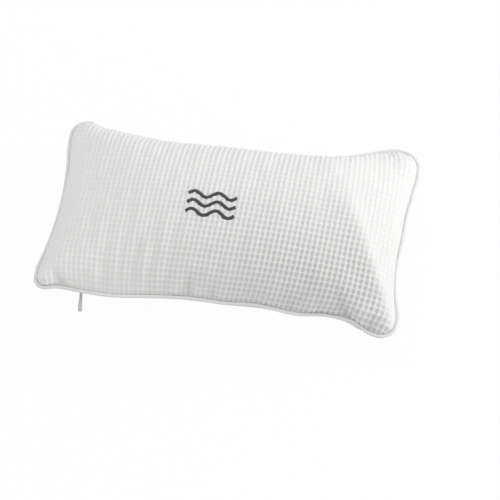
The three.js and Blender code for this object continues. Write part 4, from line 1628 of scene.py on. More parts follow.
@dataclass
class WafflePanel:
    """One of the cover's two panels: a closed shell of waffle cloth with its weave in relief."""

    cover: Cover
    cloth: CushionCloth
    waves: StitchedWaves
    waffle: Waffle = Waffle()
    lining_depth: float = 1.25 * MM
    seam_flat: float = 0.3 * MM
    seam_fade: float = 1.7 * MM
    # The next fields set the painted shade of the cloth's colour: along the seam, stronger towards
    # the bottom edge, in the folds' creases and in the pits.
    painted_seam_shade_width: tuple[float, float] = (0.2 * MM, 1.6 * MM)
    painted_seam_shade: float = 0.12
    painted_bottom_seam_shade: float = 0.54
    painted_bottom_shade_band: tuple[float, float] = (60 * MM, 90 * MM)
    painted_crease_shade_depth: float = 13 * MM
    painted_pit_shade: tuple[float, float] = (0.7, 0.3)
    front_relief: tuple[float, float] = (0.48, 0.58)
    # How open the back's pits stand. It sets only their painted shade.
    back_openness: float = 0.6
    fade_share: float = 1.4
    hole_radius: float = 5.9 * MM
    pull_rest: tuple[float, float, float] = (-145 * MM, -92 * MM, 21 * MM)
    pull_reach: tuple[float, float] = (8 * MM, 12 * MM)
    pull_press: float = 0.9 * MM
    slot_start: float = -139 * MM
    slot_end: float = 127 * MM
    fill: float = 0.85
    outer_map: tuple[float, float, float] = (0.01, 0.01, 0.98)
    inner_map: tuple[float, float, float] = (0.01, 0.61, 0.59)
    rim_map: tuple[float, float, float] = (0.63, 0.61, 0.36)
    rim_spacing: float = 0.8

    def _outside(self, flat: Array, points: Array) -> Array:
        """How far points lie outside the panel's cloth, negative on it.

        Args:
            flat: Points on the flat cut.
            points: The same points on the cushion.

        Returns:
            The distances, which are exact only near the edges.
        """
        outside = self.cover.cut.distance(flat)
        if self.cloth.side is Side.FRONT:
            return outside
        x, y, z = np.moveaxis(points, -1, 0)
        slot = np.minimum.reduce(
            [z - self.cover.slot_level, x - self.slot_start, self.slot_end - x, -y]
        )
        hole = self.hole_radius - self.cover.to_nearest_cup(points)
        return np.maximum.reduce([outside, slot, hole])

    def _weave(self, flat: Array, points: Array, outside: Array) -> tuple[Array, Array]:
        """The waffle weave's relief on the panel, and the painted shade of its pits, seam and
        creases.

        Args:
            flat: Points on the flat cut.
            points: The same points on the cushion.
            outside: How far they lie outside the cloth.

        Returns:
            How far each point stands out, and how much painted shade it gets in a pit, along the seam
            or in a crease.
        """
        relief = self.waffle.relief(flat, self.cover.cut)
        rise = self.waffle.rib_rise * relief - self.waffle.pit_depth * (1 - relief)
        rise *= smooth_step(-outside, self.seam_flat, self.seam_fade)
        if self.cloth.side is Side.FRONT:
            openness = self.waffle.openness(flat, self.cover.cut)
            least, more = self.front_relief
            rise *= (least + more * openness) * (1 - self.waves.pressing(points))
            folded = sum(fold.rise(flat) for fold in FRONT_FOLDS)
        else:
            openness, folded = self.back_openness, 0
            near, eyelet = self.cover.to_nearest_cup(points), self.cover.eyelet_radius
            rise *= smooth_step(near, eyelet, eyelet * self.fade_share)
            from_pull = np.linalg.norm(points - self.pull_rest, axis=-1)
            pressed = 1 - smooth_step(from_pull, *self.pull_reach)
            rise = rise * (1 - pressed) - self.pull_press * pressed
        # Painted shade, not the cloth's own colour: the pits darker where they stand open, most
        # towards the lower right; the seam darker, most along the bottom edge; and the folds' creases
        # darker by their depth.
        least, more = self.painted_pit_shade
        shade = (1 - relief) * openness * (least + more * openness)
        lower = smooth_step(-flat[..., 1], *self.painted_bottom_shade_band)
        crease = 1 - smooth_step(-outside, *self.painted_seam_shade_width)
        shade += crease * (self.painted_seam_shade + self.painted_bottom_seam_shade * lower)
        return rise, np.clip(shade - np.minimum(folded, 0) / self.painted_crease_shade_depth, 0, 1)

    def _layer(self, across: Array, up: Array, woven: bool) -> tuple[Array, Array, Array, Faces]:
        """One face of the cloth, cut to the panel's shape.

        Args:
            across: Places of its lines along X of the flat cut.
            up: Places of its lines along Y.
            woven: Whether it's the outer face, with the weave. It lies inside otherwise.

        Returns:
            Points, flat places, each point's painted shade, and faces.
        """
        flat = flat_grid(across, up)
        points = self.cloth.shape(across, up)
        outside = self._outside(flat, points)
        rise, shade = np.full(outside.shape, -self.lining_depth), np.zeros(outside.shape)
        if woven:
            rise, shade = self._weave(flat, points, outside)
        points = points + outward_normals(points, self.cloth.side) * rise[..., None]
        part = cut_grid(outside)
        return (*(part.values(grid) for grid in (points, flat, shade)), part.faces)

    def build(self, finish: Material) -> None:
        """Makes the panel and sews it in place.

        Args:
            finish: The cloth's material.
        """
        cut, side = self.cover.cut, self.cloth.side
        across = self.waffle.along(cut.columns, cut.cell_width)
        up = self.waffle.along(cut.rows, cut.cell_height)
        outer, outer_flat, outer_painted_shade, outer_faces = self._layer(across, up, True)
        inner, inner_flat, inner_painted_shade, inner_faces = self._layer(*self.cover.lines(), False)
        body = closed_shell(outer, outer_faces, inner, inner_faces)
        name = f"waffle_panel_{side.value}"
        piece = new_piece(name, body, finish, f"{side.value}_panel")
        # Each point's painted shade, which the cloth's material reads to grey its colour.
        pits = piece.data.attributes.new(PAINTED_SHADE_ATTRIBUTE, "FLOAT", "POINT")
        pits.data.foreach_set("value", np.concatenate([outer_painted_shade, inner_painted_shade]))
        flat = np.concatenate([outer_flat, inner_flat])
        self._map(piece, flat, len(outer), len(outer_faces) + len(inner_faces))

    def _map(self, piece: Piece, flat: Array, outer_count: int, layer_faces: int) -> None:
        """Gives the panel its map in millimetres of flat cloth, and one without overlaps.

        Args:
            piece: The panel.
            flat: Each vertex's place on the flat cut.
            outer_count: How many vertices the outer face has.
            layer_faces: How many faces the two layers have, before the triangles of the rim.
        """
        mesh = piece.data
        corners = np.zeros(len(mesh.loops), int)
        mesh.loops.foreach_get("vertex_index", corners)
        add_map(piece, CLOTH_MAP, flat[corners] / MM)
        size = 2 * self.cover.cut.half
        share = (flat + size / 2) / size[0]
        outer, inner = (
            np.array(box[:2]) + share * box[2] for box in (self.outer_map, self.inner_map)
        )
        is_outer = (np.arange(len(flat)) < outer_count)[:, None]
        places = np.where(is_outer, outer, inner)[corners]
        first = mesh.polygons[layer_faces].loop_start
        count = (len(corners) - first) // 3
        columns = math.ceil(math.sqrt(count))
        cell = self.rim_map[2] / columns
        starts = np.stack(np.divmod(np.arange(count), columns), axis=-1) * cell + self.rim_map[:2]
        triangle = np.array([(0, 0), (1, 0), (0, 1)]) * cell * self.rim_spacing
        places[first:] = (starts[:, None] + triangle).reshape(-1, 2)
        add_map(piece, BAKE_MAP, places)


@dataclass(frozen=True)
class Piping:
    """The piping round the seam: a folded strip of plain cotton with a twisted cord in it."""

    seam: Seam
    sleeve_radius: float = 1.6 * MM
    sleeve_cloth: float = 0.6 * MM
    flange: float = 3 * MM
    flange_half: float = 0.5 * MM
    slit_half: float = 0.15 * MM
    gathers: tuple[tuple[float, float, float], ...] = (
        (5.2 * MM, 0.8, 0.3), (8.1 * MM, -1.1, 1.9), (13 * MM, 0.5, 4.1),
    )
    gather_swell: float = 0.02
    cord_radius: float = 0.85 * MM
    strands: int = 3
    strand_depth: float = 0.2 * MM
    twist: float = 7 * MM
    sections: int = 720
    outer_points: int = 18
    inner_points: int = 10
    cord_sides: int = 15

    @cached_property
    def _arcs(self) -> tuple[Array, Array]:
        """Turns round the seam, and how far along the piping's middle each lies."""
        turns = np.linspace(0, 1, self.seam.samples + 1)
        return turns, arc_lengths(self.seam.points(turns, self.sleeve_radius))

    @property
    def _lengths(self) -> Array:
        """How far along the piping its sections lie, with its whole length at the end."""
        return np.linspace(0, self._arcs[1][-1], self.sections + 1)

    def _along(self, name: str, shapes: Array, finish: Material, node: str) -> None:
        """Makes a closed tube round the whole seam.

        Args:
            name: The piece's name.
            shapes: Its sections, as distances inwards and up.
            finish: The material.
            node: The CAD node that it stands for.
        """
        turns, arcs = self._arcs
        lengths, count = self._lengths, shapes.shape[1]
        even = np.interp(lengths[:-1], arcs, turns)
        middle = self.seam.points(even, self.sleeve_radius)
        inwards = unit(self.seam.points(even, self.sleeve_radius + MM) - middle)
        points = np.zeros(shapes.shape[:2] + (3,))
        points[..., :2] = middle[:, None] + inwards[:, None] * shapes[..., :1]
        points[..., 2] = self.seam.level + shapes[..., 1]
        body = points.reshape(-1, 3), loop_faces(self.sections, count, closed=True)
        piece = new_piece(name, body, finish, node)
        around = arc_lengths(np.concatenate([shapes[0], shapes[0][:1]]))
        here, k = np.divmod(np.arange(self.sections * count), count)
        places = np.array([(lengths[here + i], around[k + j]) for i, j in CORNER_STEPS])
        add_map(piece, CLOTH_MAP, places.transpose(2, 0, 1) / MM)

    def sleeve(self, finish: Material) -> None:
        """Makes the strip of cloth folded round the cord, slightly gathered along its length.

        Args:
            finish: The cloth's material.
        """
        reach = self.sleeve_radius + self.flange

        def arc(radius: float, up: float, count: int) -> Array:
            """The round part of the section, from one side of its slit to the other."""
            angle = (math.pi - math.asin(up / radius)) * np.linspace(1, -1, count)
            return np.stack([-np.cos(angle), np.sin(angle)], axis=-1) * radius

        section = np.concatenate([
            [[reach, self.flange_half]],
            arc(self.sleeve_radius, self.flange_half, self.outer_points),
            [[reach, -self.flange_half], [reach, -self.slit_half]],
            arc(self.sleeve_radius - self.sleeve_cloth, self.slit_half, self.inner_points)[::-1],
            [[reach, self.slit_half]],
        ])
        shapes = np.repeat(section[None], self.sections, axis=0)
        outer = slice(1, 1 + self.outer_points)
        angle = np.arctan2(section[outer, 1], -section[outer, 0])
        along = self._lengths[:-1, None] * 2 * math.pi / self._lengths[-1]
        gathers = sum(
            np.sin(along * round(self._lengths[-1] / length) + angle * lean + phase)
            for length, lean, phase in self.gathers
        )
        shapes[:, outer] *= (1 + self.gather_swell * gathers)[..., None]
        self._along("piping_cloth", shapes, finish, "piping_sleeve")

    def cord(self, finish: Material) -> None:
        """Makes the cord of twisted strands inside the sleeve.

        Args:
            finish: The cord's material.
        """
        angle = once_round(self.cord_sides)
        turns = round(self._lengths[-1] / self.twist)
        spin = 2 * math.pi * turns * self._lengths[:-1, None] / self._lengths[-1]
        furrow = 0.5 - 0.5 * np.cos(self.strands * (angle - spin))
        radius = self.cord_radius - self.strand_depth * furrow
        shapes = radius[..., None] * ways_at(angle)
        self._along("twisted_cord", shapes, finish, "piping_cord")


@dataclass(frozen=True)
class InnerBag:
    """The bag of thin lining that holds the filling, in two halves, and the loose fibre in it."""

    cover: Cover
    front: CushionCloth
    inset: float = 8.4 * MM
    lowest: float = -76.34 * MM
    cloth: float = 0.6 * MM
    clearance: float = 0.3 * MM
    top: float = 72.9 * MM
    bottom: float = 7.1 * MM
    headroom: float = 3.2 * MM
    bag_creases: tuple[float, float] = (16 * MM, 0.7 * MM)
    fibre_lumps: tuple[float, float] = (9 * MM, 1.68 * MM)
    crease_power: float = 4
    back_creases: float = 0.5
    seed: int = 8
    fill: float = 0.8
    around: int = 260
    shares: tuple[float, ...] = (
        0.04, 0.1, 0.17, 0.24, 0.31, 0.38, 0.45, 0.52, 0.59, 0.66, 0.72, 0.78, 0.83, 0.87, 0.905,
        0.935, 0.96, 0.98, 0.992, 1.0,
    )

    @cached_property
    def _ceiling(self) -> BVHTree:
        """The cover's front, under which the bag stays."""
        return self.front.tree()

    def _rings(self, side: Side, inside: float, edge: float, creases: tuple[float, float]) -> Array:
        """Rings of points on one side, from its middle out.

        Args:
            side: Which side of the bag.
            inside: How far inside the bag's outer face they lie.
            edge: How far from the seam's level they start at the rim.
            creases: The usual distance between two creases, and their depth.

        Returns:
            Points, as rings, places round the outline and X, Y and Z.
        """
        level = self.cover.form.seam.level
        turns = np.arange(self.around) / self.around
        rim = self.cover.form.seam.points(turns, self.inset + inside)
        rim[:, 1] = np.maximum(rim[:, 1], self.lowest + inside)
        form = replace(
            self.cover.form, rim_rise=edge, crown_rise=self.top - level - inside,
            back_depth=level - self.bottom - inside,
        )
        shares = np.repeat(np.array(self.shares)[:, None], self.around, axis=1)
        points = form.place(side, np.broadcast_to(rim, shares.shape + (2,)), shares)
        spread, depth = creases
        uneven = 0.5 + 0.5 * soft_noise(points[..., :2], spread, self.seed)
        sunk = depth * (1 - shares**self.crease_power) * uneven
        if side is Side.BACK:
            points[..., 2] += self.bottom + inside + sunk * self.back_creases
            return points
        points[..., 2] -= sunk
        for place in points.reshape(-1, 3):
            above = self._ceiling.ray_cast(Vector((place[0], place[1], -1)), Vector((0, 0, 1)))[0]
            if above is not None:
                place[2] = min(place[2], max(above.z - self.headroom - inside, level + edge))
        return points

    def _between(self, one: Array, other: Array) -> Body:
        """The closed body between two sets of rings, joined at their last ones."""
        first, last = (np.append(np.zeros(2), rings[0, :, 2].mean()) for rings in (one, other))
        return between_poles(first, np.concatenate([one, other[::-1]]), last)

    def half(self, side: Side, finish: Material) -> None:
        """Makes one half of the bag, a thin shell with its edge at the seam.

        Args:
            side: Which side of the bag.
            finish: The lining's material.
        """
        outer, inner = (
            self._rings(side, inside, self.clearance / 2, self.bag_creases)
            for inside in (0.0, self.cloth)
        )
        body = self._between(outer, inner)
        new_piece(f"lining_bag_{side.value}", body, finish, f"inner_bag_{side.value}")

    def filling(self, finish: Material) -> None:
        """Makes the filling, a lumpy block of loose fibre.

        Args:
            finish: The fibre's material.
        """
        inside = self.cloth + self.clearance
        upper, lower = (self._rings(side, inside, 0.0, self.fibre_lumps) for side in Side)
        new_piece("fibre_filling", self._between(upper, lower[:-1]), finish, "filling")


@dataclass(frozen=True)
class Zip:
    """The hidden zip: two woven tapes, two nylon coils, the stops at their ends and the slider."""

    cover: Cover
    plane: float = -79.44 * MM
    level: float = 20 * MM
    start: float = -137 * MM
    end: float = 125 * MM
    tape: float = 1 * MM
    tape_edge: float = 2.85 * MM
    tape_fold: float = 1.9 * MM
    tape_hem: float = 0.5 * MM
    tape_past: float = 3.6 * MM
    tape_round: float = 0.3 * MM
    tapes_met: float = 0.2 * MM
    tapes_meet: float = 3 * MM
    hem_level: float = 14.65 * MM
    hem_drawn: float = 3 * MM
    hem_end: tuple[float, float] = (0.8 * MM, 2.4 * MM)
    rim_inset: float = 4.85 * MM
    rim_level: float = 26.7 * MM
    lower_seam: tuple[float, float] = (0.5, 0.98)
    slot_share: float = 0.9596
    coil_start: float = -131.4 * MM
    coil_end: float = 101 * MM
    coil_reach: float = 2.25 * MM
    coil_overlap: float = 0.3 * MM
    coil_half: float = 0.95 * MM
    coil_pitch: float = 1.3 * MM
    coil_shift: float = 0.25
    coil_steps: int = 14
    wire: float = 0.27 * MM
    wire_sides: int = 7
    stop_gap: float = 0.3 * MM
    stop_length: float = 2.7 * MM
    stop_thickness: float = 3 * MM
    stop_round: float = 0.8 * MM
    stop_round_points: int = 5
    stop_form: tuple[tuple[float, float], ...] = (
        (0, 0.72), (0.04, 0.88), (0.12, 1), (0.3, 1), (0.5, 0.93), (0.7, 1), (0.88, 1),
        (0.96, 0.88), (1, 0.72),
    )
    station: float = 2 * MM
    slider_edge: float = 0.18 * MM
    slider_edge_angle: float = 40

    def _rim(self, x: Array, at_slot: bool) -> Array:
        """The Y of the lower rim of the panels' cloth.

        Args:
            x: Places along X.
            at_slot: Whether it's the back panel's rim at the slot, and not the seam's.

        Returns:
            The Y at each place.
        """
        turns = np.linspace(*self.lower_seam, self.cover.form.seam.samples)
        line = self.cover.form.seam.points(turns, self.rim_inset)
        if at_slot:
            share = np.full(len(line), self.slot_share)
            line = self.cover.form.drawn_in(Side.BACK, line, share)
        return np.interp(x, line[:, 0], line[:, 1])

    def tapes(self, finish: Material) -> None:
        """Makes the two tapes: one up to the seam, one down to a hem on the back panel's rim.

        Args:
            finish: The tapes' material.
        """
        start, end = self.start - self.tape_past, self.end + self.tape_past
        places = np.linspace(start, end, round((end - start) / self.station))
        half, hem_top = self.tape / 2, self.hem_level + self.tape
        near, far = self.plane - half, self.plane + half
        coil_stop = self.coil_end + self.stop_gap + self.stop_length
        beyond = np.maximum(self.start - places, places - coil_stop)
        closed = (self.tape_edge - self.tapes_met) * smooth_step(beyond, 0, self.tapes_meet)
        under = np.maximum(self.start - places, places - self.end)
        hems = self.tape_hem - self.hem_drawn * smooth_step(under, *self.hem_end)
        rims, slots = self._rim(places, False), self._rim(places, True)
        upper, lower = [], []
        for rim, slot, edge, hem in zip(rims, slots, self.tape_edge - closed, hems):
            line = np.array([
                (self.plane, self.level + edge),
                (self.plane, self.level + self.tape_edge + self.tape_fold), (rim, self.rim_level),
            ])
            along = unit(np.array([line[1] - line[0], line[2] - line[0], line[2] - line[1]]))
            across = left_of(along) * half
            upper.append(np.concatenate([line + across, (line - across)[::-1]]))
            outer = min(self.plane - self.tape, min(self.plane, slot) - half - hem)
            inner = max(self.plane, slot) + half + self.tape_hem
            lower.append(np.array([
                (near, self.level - edge), (far, self.level - edge), (far, hem_top),
                (inner, hem_top), (inner, self.hem_level), (outer, self.hem_level),
                (outer, hem_top), (near, hem_top),
            ]))
        for name, sections in (("upper", upper), ("lower", lower)):
            body = swept(places, [rounded(corners, self.tape_round) for corners in sections])
            new_piece(f"woven_tape_{name}", body, finish, f"zip_tape_{name}")

    def coils(self, finish: Material) -> None:
        """Makes the two coils, whose turns mesh along the zip's middle line.

        Args:
            finish: The coils' material.
        """
        turns = (self.coil_end - self.coil_start - 2 * self.wire) / self.coil_pitch
        half = (self.coil_reach + self.coil_overlap) / 2 - self.wire
        for name, up, shift in (("upper", 1, self.coil_shift), ("lower", -1, 0)):
            turn = np.arange(0, turns - 0.5, 1 / self.coil_steps) + shift
            angle = 2 * math.pi * turn
            out = np.stack([np.zeros(len(turn)), np.sin(angle), -up * np.cos(angle)], axis=-1)
            middle = self.level + up * (self.coil_reach - self.wire - half)
            line = out * (0, self.coil_half, half) + (0, self.plane, middle)
            line[:, 0] = self.coil_start + self.wire + turn * self.coil_pitch
            size = np.full(len(turn), self.wire)
            body = tube(line, out, size, size, self.wire_sides)
            new_piece(f"coil_{name}", body, finish, f"zip_coil_{name}")

    def stops(self, finish: Material) -> None:
        """Makes the two moulded stops, each pinched in round its middle.

        Args:
            finish: The stops' material.
        """
        size = np.array([self.stop_thickness / 2, self.coil_reach])
        section = rounded(SQUARE * size, self.stop_round, self.stop_round_points)
        shares, sizes = np.array(self.stop_form).T
        starts = {"closed_end": self.start, "open_end": self.coil_end + self.stop_gap}
        for name, start in starts.items():
            sections = [section * size + (self.plane, self.level) for size in sizes]
            body = swept(start + shares * self.stop_length, sections)
            new_piece(f"moulded_stop_{name}", body, finish, f"zip_stop_{name}")

    def slider(self, finish: Material) -> None:
        """Dresses the CAD slider: its edges are eased and it gets its paint.

        Args:
            finish: The slider's material.
        """
        slider = frame["nodes"]["zip_slider"]
        slider.data.materials.clear()
        slider.data.materials.append(finish)
        edges = slider.modifiers.new("eased edges", "BEVEL")
        edges.width, edges.segments = self.slider_edge, 2
        edges.limit_method, edges.angle_limit = "ANGLE", math.radians(self.slider_edge_angle)
        log.info("zip_slider: dressed CAD node")


@dataclass(frozen=True)
class ZipPull:
    """The slim moulded pull: two arms round a pin, and a paddle that thickens towards its end."""

    pin_place: tuple[float, float, float] = (-129 * MM, -84.44 * MM, 20 * MM)
    lean: float = 8.0
    length: float = 27 * MM
    start: float = 4.5485 * MM
    pin_radius: float = 0.6 * MM
    pin_share: float = 0.98
    pin_sides: int = 20
    arm_inner: float = 1.3 * MM
    arm_outer: float = 2.3 * MM
    arm_half: float = 0.8 * MM
    arm_round: float = 0.25 * MM
    arm_head: tuple[float, ...] = (1.0, 0.8, 0.4, -0.4)
    arm_widths: tuple[float, ...] = (0.35, 0.7, 0.95, 1, 1, 1, 1, 1)
    arm_neck: float = 1.6
    arm_past: float = 1 * MM
    neck_thickness: float = 2.3 * MM
    neck_size: float = 0.7
    neck_share: float = 0.03
    end_thickness: float = 3.8 * MM
    end_width: float = 5.2 * MM
    end_crowding: float = 1.6
    most_past: float = 0.985
    swell: tuple[tuple[float, float], ...] = (
        (0, 0), (0.25, 0.1), (0.4, 0.38), (0.55, 0.7), (0.85, 1), (1, 1),
    )
    power: float = 2 / 3
    sides: int = 32
    stations: int = 30

    def _paddle(self) -> Body:
        """The paddle below the arms."""
        reach = self.length - self.start
        share = 1 - (1 - np.linspace(0, 1, self.stations)) ** self.end_crowding
        swell = np.interp(share, *np.array(self.swell).T)[:, None]
        blunt = self.end_thickness / 2 / reach
        past = np.clip((share - 1 + blunt) / blunt, 0, self.most_past)
        neck = self.neck_size + np.clip(share / self.neck_share, 0, 1) * (1 - self.neck_size)
        first = np.array([self.neck_thickness, 2 * self.arm_outer])
        last = np.array([self.end_thickness, self.end_width])
        sizes = (first + (last - first) * swell) / 2 * (np.sqrt(1 - past**2) * neck)[:, None]
        way = ways_at(once_round(self.sides))
        section = np.sign(way) * np.abs(way) ** self.power
        return swept(-self.start - share * reach, [section * size for size in sizes], way=1)

    def _arm(self, up: int) -> Body:
        """One arm, which runs from the pin down into the paddle."""
        half = (self.arm_outer - self.arm_inner) / 2
        middle = up * (self.arm_inner + self.arm_outer) / 2
        lower = np.linspace(self.arm_neck * self.arm_half, self.start + self.arm_past, 4)
        places = np.append(np.array(self.arm_head) * self.arm_half, -lower)
        section = rounded(SQUARE * (self.arm_half, half), self.arm_round)
        sections = [section * (width, 1) + (0, middle) for width in self.arm_widths]
        return swept(places, sections, way=1)

    def _pin(self) -> Body:
        """The pin between the arms."""
        line = np.linspace(-1, 1, 4)[:, None] * (0, 0, self.arm_outer * self.pin_share)
        size = np.full(len(line), self.pin_radius)
        return tube(line, np.tile((0.0, 1.0, 0.0), (len(line), 1)), size, size, self.pin_sides)

    def build(self, finish: Material) -> None:
        """Makes the pull and hangs it on the slider.

        Args:
            finish: The moulded plastic's material.
        """
        points, faces = united([self._paddle(), self._arm(1), self._arm(-1), self._pin()])
        spin = np.array(Matrix.Rotation(math.radians(self.lean), 3, "Z"))
        new_piece("moulded_pull", (points @ spin.T + self.pin_place, faces), finish, "zip_pull")


@dataclass(frozen=True)
class CupSet:
    """The four suction cups in their eyelets, each with a washer inside the cloth."""

    place: tuple[float, float] = (80 * MM, 33 * MM)
    ways: tuple[tuple[int, int], ...] = ((-1, 1), (1, 1), (-1, -1), (1, -1))
    radius: float = 21 * MM
    stand: float = 12 * MM
    hollow: float = 3.4 * MM
    rim: float = 1.6 * MM
    lip: tuple[tuple[float, float], ...] = (
        (-0.35 * MM, 0), (0, 0.25 * MM), (0, 0.6 * MM), (-0.3 * MM, 0.82 * MM),
    )
    wall_start: float = 0.7 * MM
    wall_to_hub: float = 1.2 * MM
    wall_curve: tuple[float, float, float] = (4.25, 0.369, 0.85 * MM)
    hub_radius: float = 7 * MM
    hub_top: float = -1.8 * MM
    hub_bottom: float = -4.2 * MM
    neck_radius: float = 4.2 * MM
    head_radius: float = 6.5 * MM
    head_level: float = 3.6 * MM
    head_height: float = 3.2 * MM
    stem_round: float = 0.4 * MM
    tab_length: float = 6 * MM
    tab_half: float = 4 * MM
    tab_lift: float = 0.45 * MM
    tab_angle: float = 14
    tab_squareness: float = 4
    bowl_points: int = 14
    wall_points: int = 12
    tab_points: int = 21
    rest_points: int = 68
    eyelet_radius: float = 9 * MM
    eyelet_bevel: tuple[float, float] = (1.4 * MM, 0.5 * MM)
    eyelet_inner: float = 4.6 * MM
    collar: float = 1 * MM
    plate: float = 1.2 * MM
    plate_round: float = 0.3 * MM
    eyelet_sides: int = 72
    washer_sides: int = 60
    gap: float = 0.3 * MM
    cloth: float = 1.5 * MM

    def _cup(self) -> Body:
        """A cup about its own axis, with its tab towards +X."""
        under = np.linspace(0, 1, self.bowl_points)
        inner, foot = self.radius - self.rim, np.array([self.radius, -self.stand])
        bowl = np.column_stack([under * inner, self.hollow * (1 - under**2) - self.stand])
        lip = foot + np.array(self.lip)
        slope = self.radius - self.hub_radius - self.wall_to_hub
        out = self.wall_start + np.linspace(0, 1, self.wall_points) * slope
        wall = foot + np.column_stack([-out, np.polyval(self.wall_curve, out)])
        top = self.head_level + self.head_height
        stem = rounded(np.array([
            wall[-1], (self.hub_radius, self.hub_bottom), (self.hub_radius, self.hub_top),
            (self.neck_radius, self.hub_top), (self.neck_radius, self.head_level),
            (self.head_radius, self.head_level),
            (self.head_radius, self.head_level + self.head_height / 2),
            (self.neck_radius / 2, top), (0, top),
        ]), self.stem_round, steps=3, closed=False)
        profile = np.concatenate([bowl, lip, wall[:-1], stem])
        fine = np.radians(np.linspace(-self.tab_angle, self.tab_angle, self.tab_points))
        rest = np.linspace(fine[-1], 2 * math.pi + fine[0], self.rest_points)[1:-1]
        angles = np.concatenate([fine, rest])
        profiles = np.repeat(profile[None], len(angles), axis=0)
        aside = np.abs(np.sin(angles)) * self.radius / self.tab_half
        tab = np.sqrt(np.clip(1 - aside**self.tab_squareness, 0, 1))
        reach = np.where(np.cos(angles) > 0, tab, 0)
        lips = slice(len(bowl), len(bowl) + len(lip))
        profiles[:, lips] += reach[:, None, None] * (self.tab_length, self.tab_lift)
        return turned(profiles, angles, solid=True)

    def _eyelet(self) -> Body:
        """An eyelet: a flange outside the cloth and a collar through it."""
        outer = self.eyelet_inner + self.collar
        under, top = -self.gap - self.plate, self.head_level - self.gap
        inwards, down = self.eyelet_bevel
        corners = np.array([
            (self.eyelet_inner, under), (self.eyelet_radius - inwards, under),
            (self.eyelet_radius, -self.gap - down), (self.eyelet_radius, -self.gap),
            (outer, -self.gap), (outer, top), (self.eyelet_inner, top),
        ])
        section = rounded(corners, self.plate_round)
        return turned(section, once_round(self.eyelet_sides), solid=False)

    def _washer(self) -> Body:
        """A washer inside the cloth, round the eyelet's collar."""
        inner, bottom = self.eyelet_inner + self.collar + self.gap, self.cloth + self.gap
        middle = np.array([inner + self.eyelet_radius, 2 * bottom + self.plate]) / 2
        half = np.array([self.eyelet_radius - inner, self.plate]) / 2
        section = rounded(middle + SQUARE * half, self.plate_round)
        return turned(section, once_round(self.washer_sides), solid=False)

    def build(self, pvc: Material, plastic: Material) -> None:
        """Makes the cups and their eyelets and sets them in the back.

        Args:
            pvc: The cups' material.
            plastic: The eyelets' and washers' material.
        """
        kinds = (
            ("suction_cup", "clear_cup", self._cup(), pvc),
            ("eyelet", "moulded_eyelet", self._eyelet(), plastic),
            ("eyelet_washer", "moulded_washer", self._washer(), plastic),
        )
        for number, (x, y) in enumerate(self.ways, 1):
            centre = (x * self.place[0], y * self.place[1], 0)
            for node, name, (points, faces), finish in kinds:
                body = points * (x, x, 1) + centre, faces
                new_piece(f"{name}_{number}", body, finish, f"{node}_{number}")


@dataclass(frozen=True)
class Lamp:
    """A soft square lamp that faces the pillow."""

    name: str
    place: tuple[float, float, float]
    size: float
    power: float

    def hang(self, target: Vector) -> None:
        """Hangs the lamp in its place.

        Args:
            target: The point that it faces.
        """
        data = bpy.data.lights.new(self.name, "AREA")
        data.size, data.energy = self.size, self.power
        lamp = bpy.data.objects.new(self.name, data)
        lamp.location = self.place
        way = target - Vector(self.place)
        lamp.rotation_euler = way.to_track_quat("-Z", "Y").to_euler()
        bpy.context.scene.collection.objects.link(lamp)


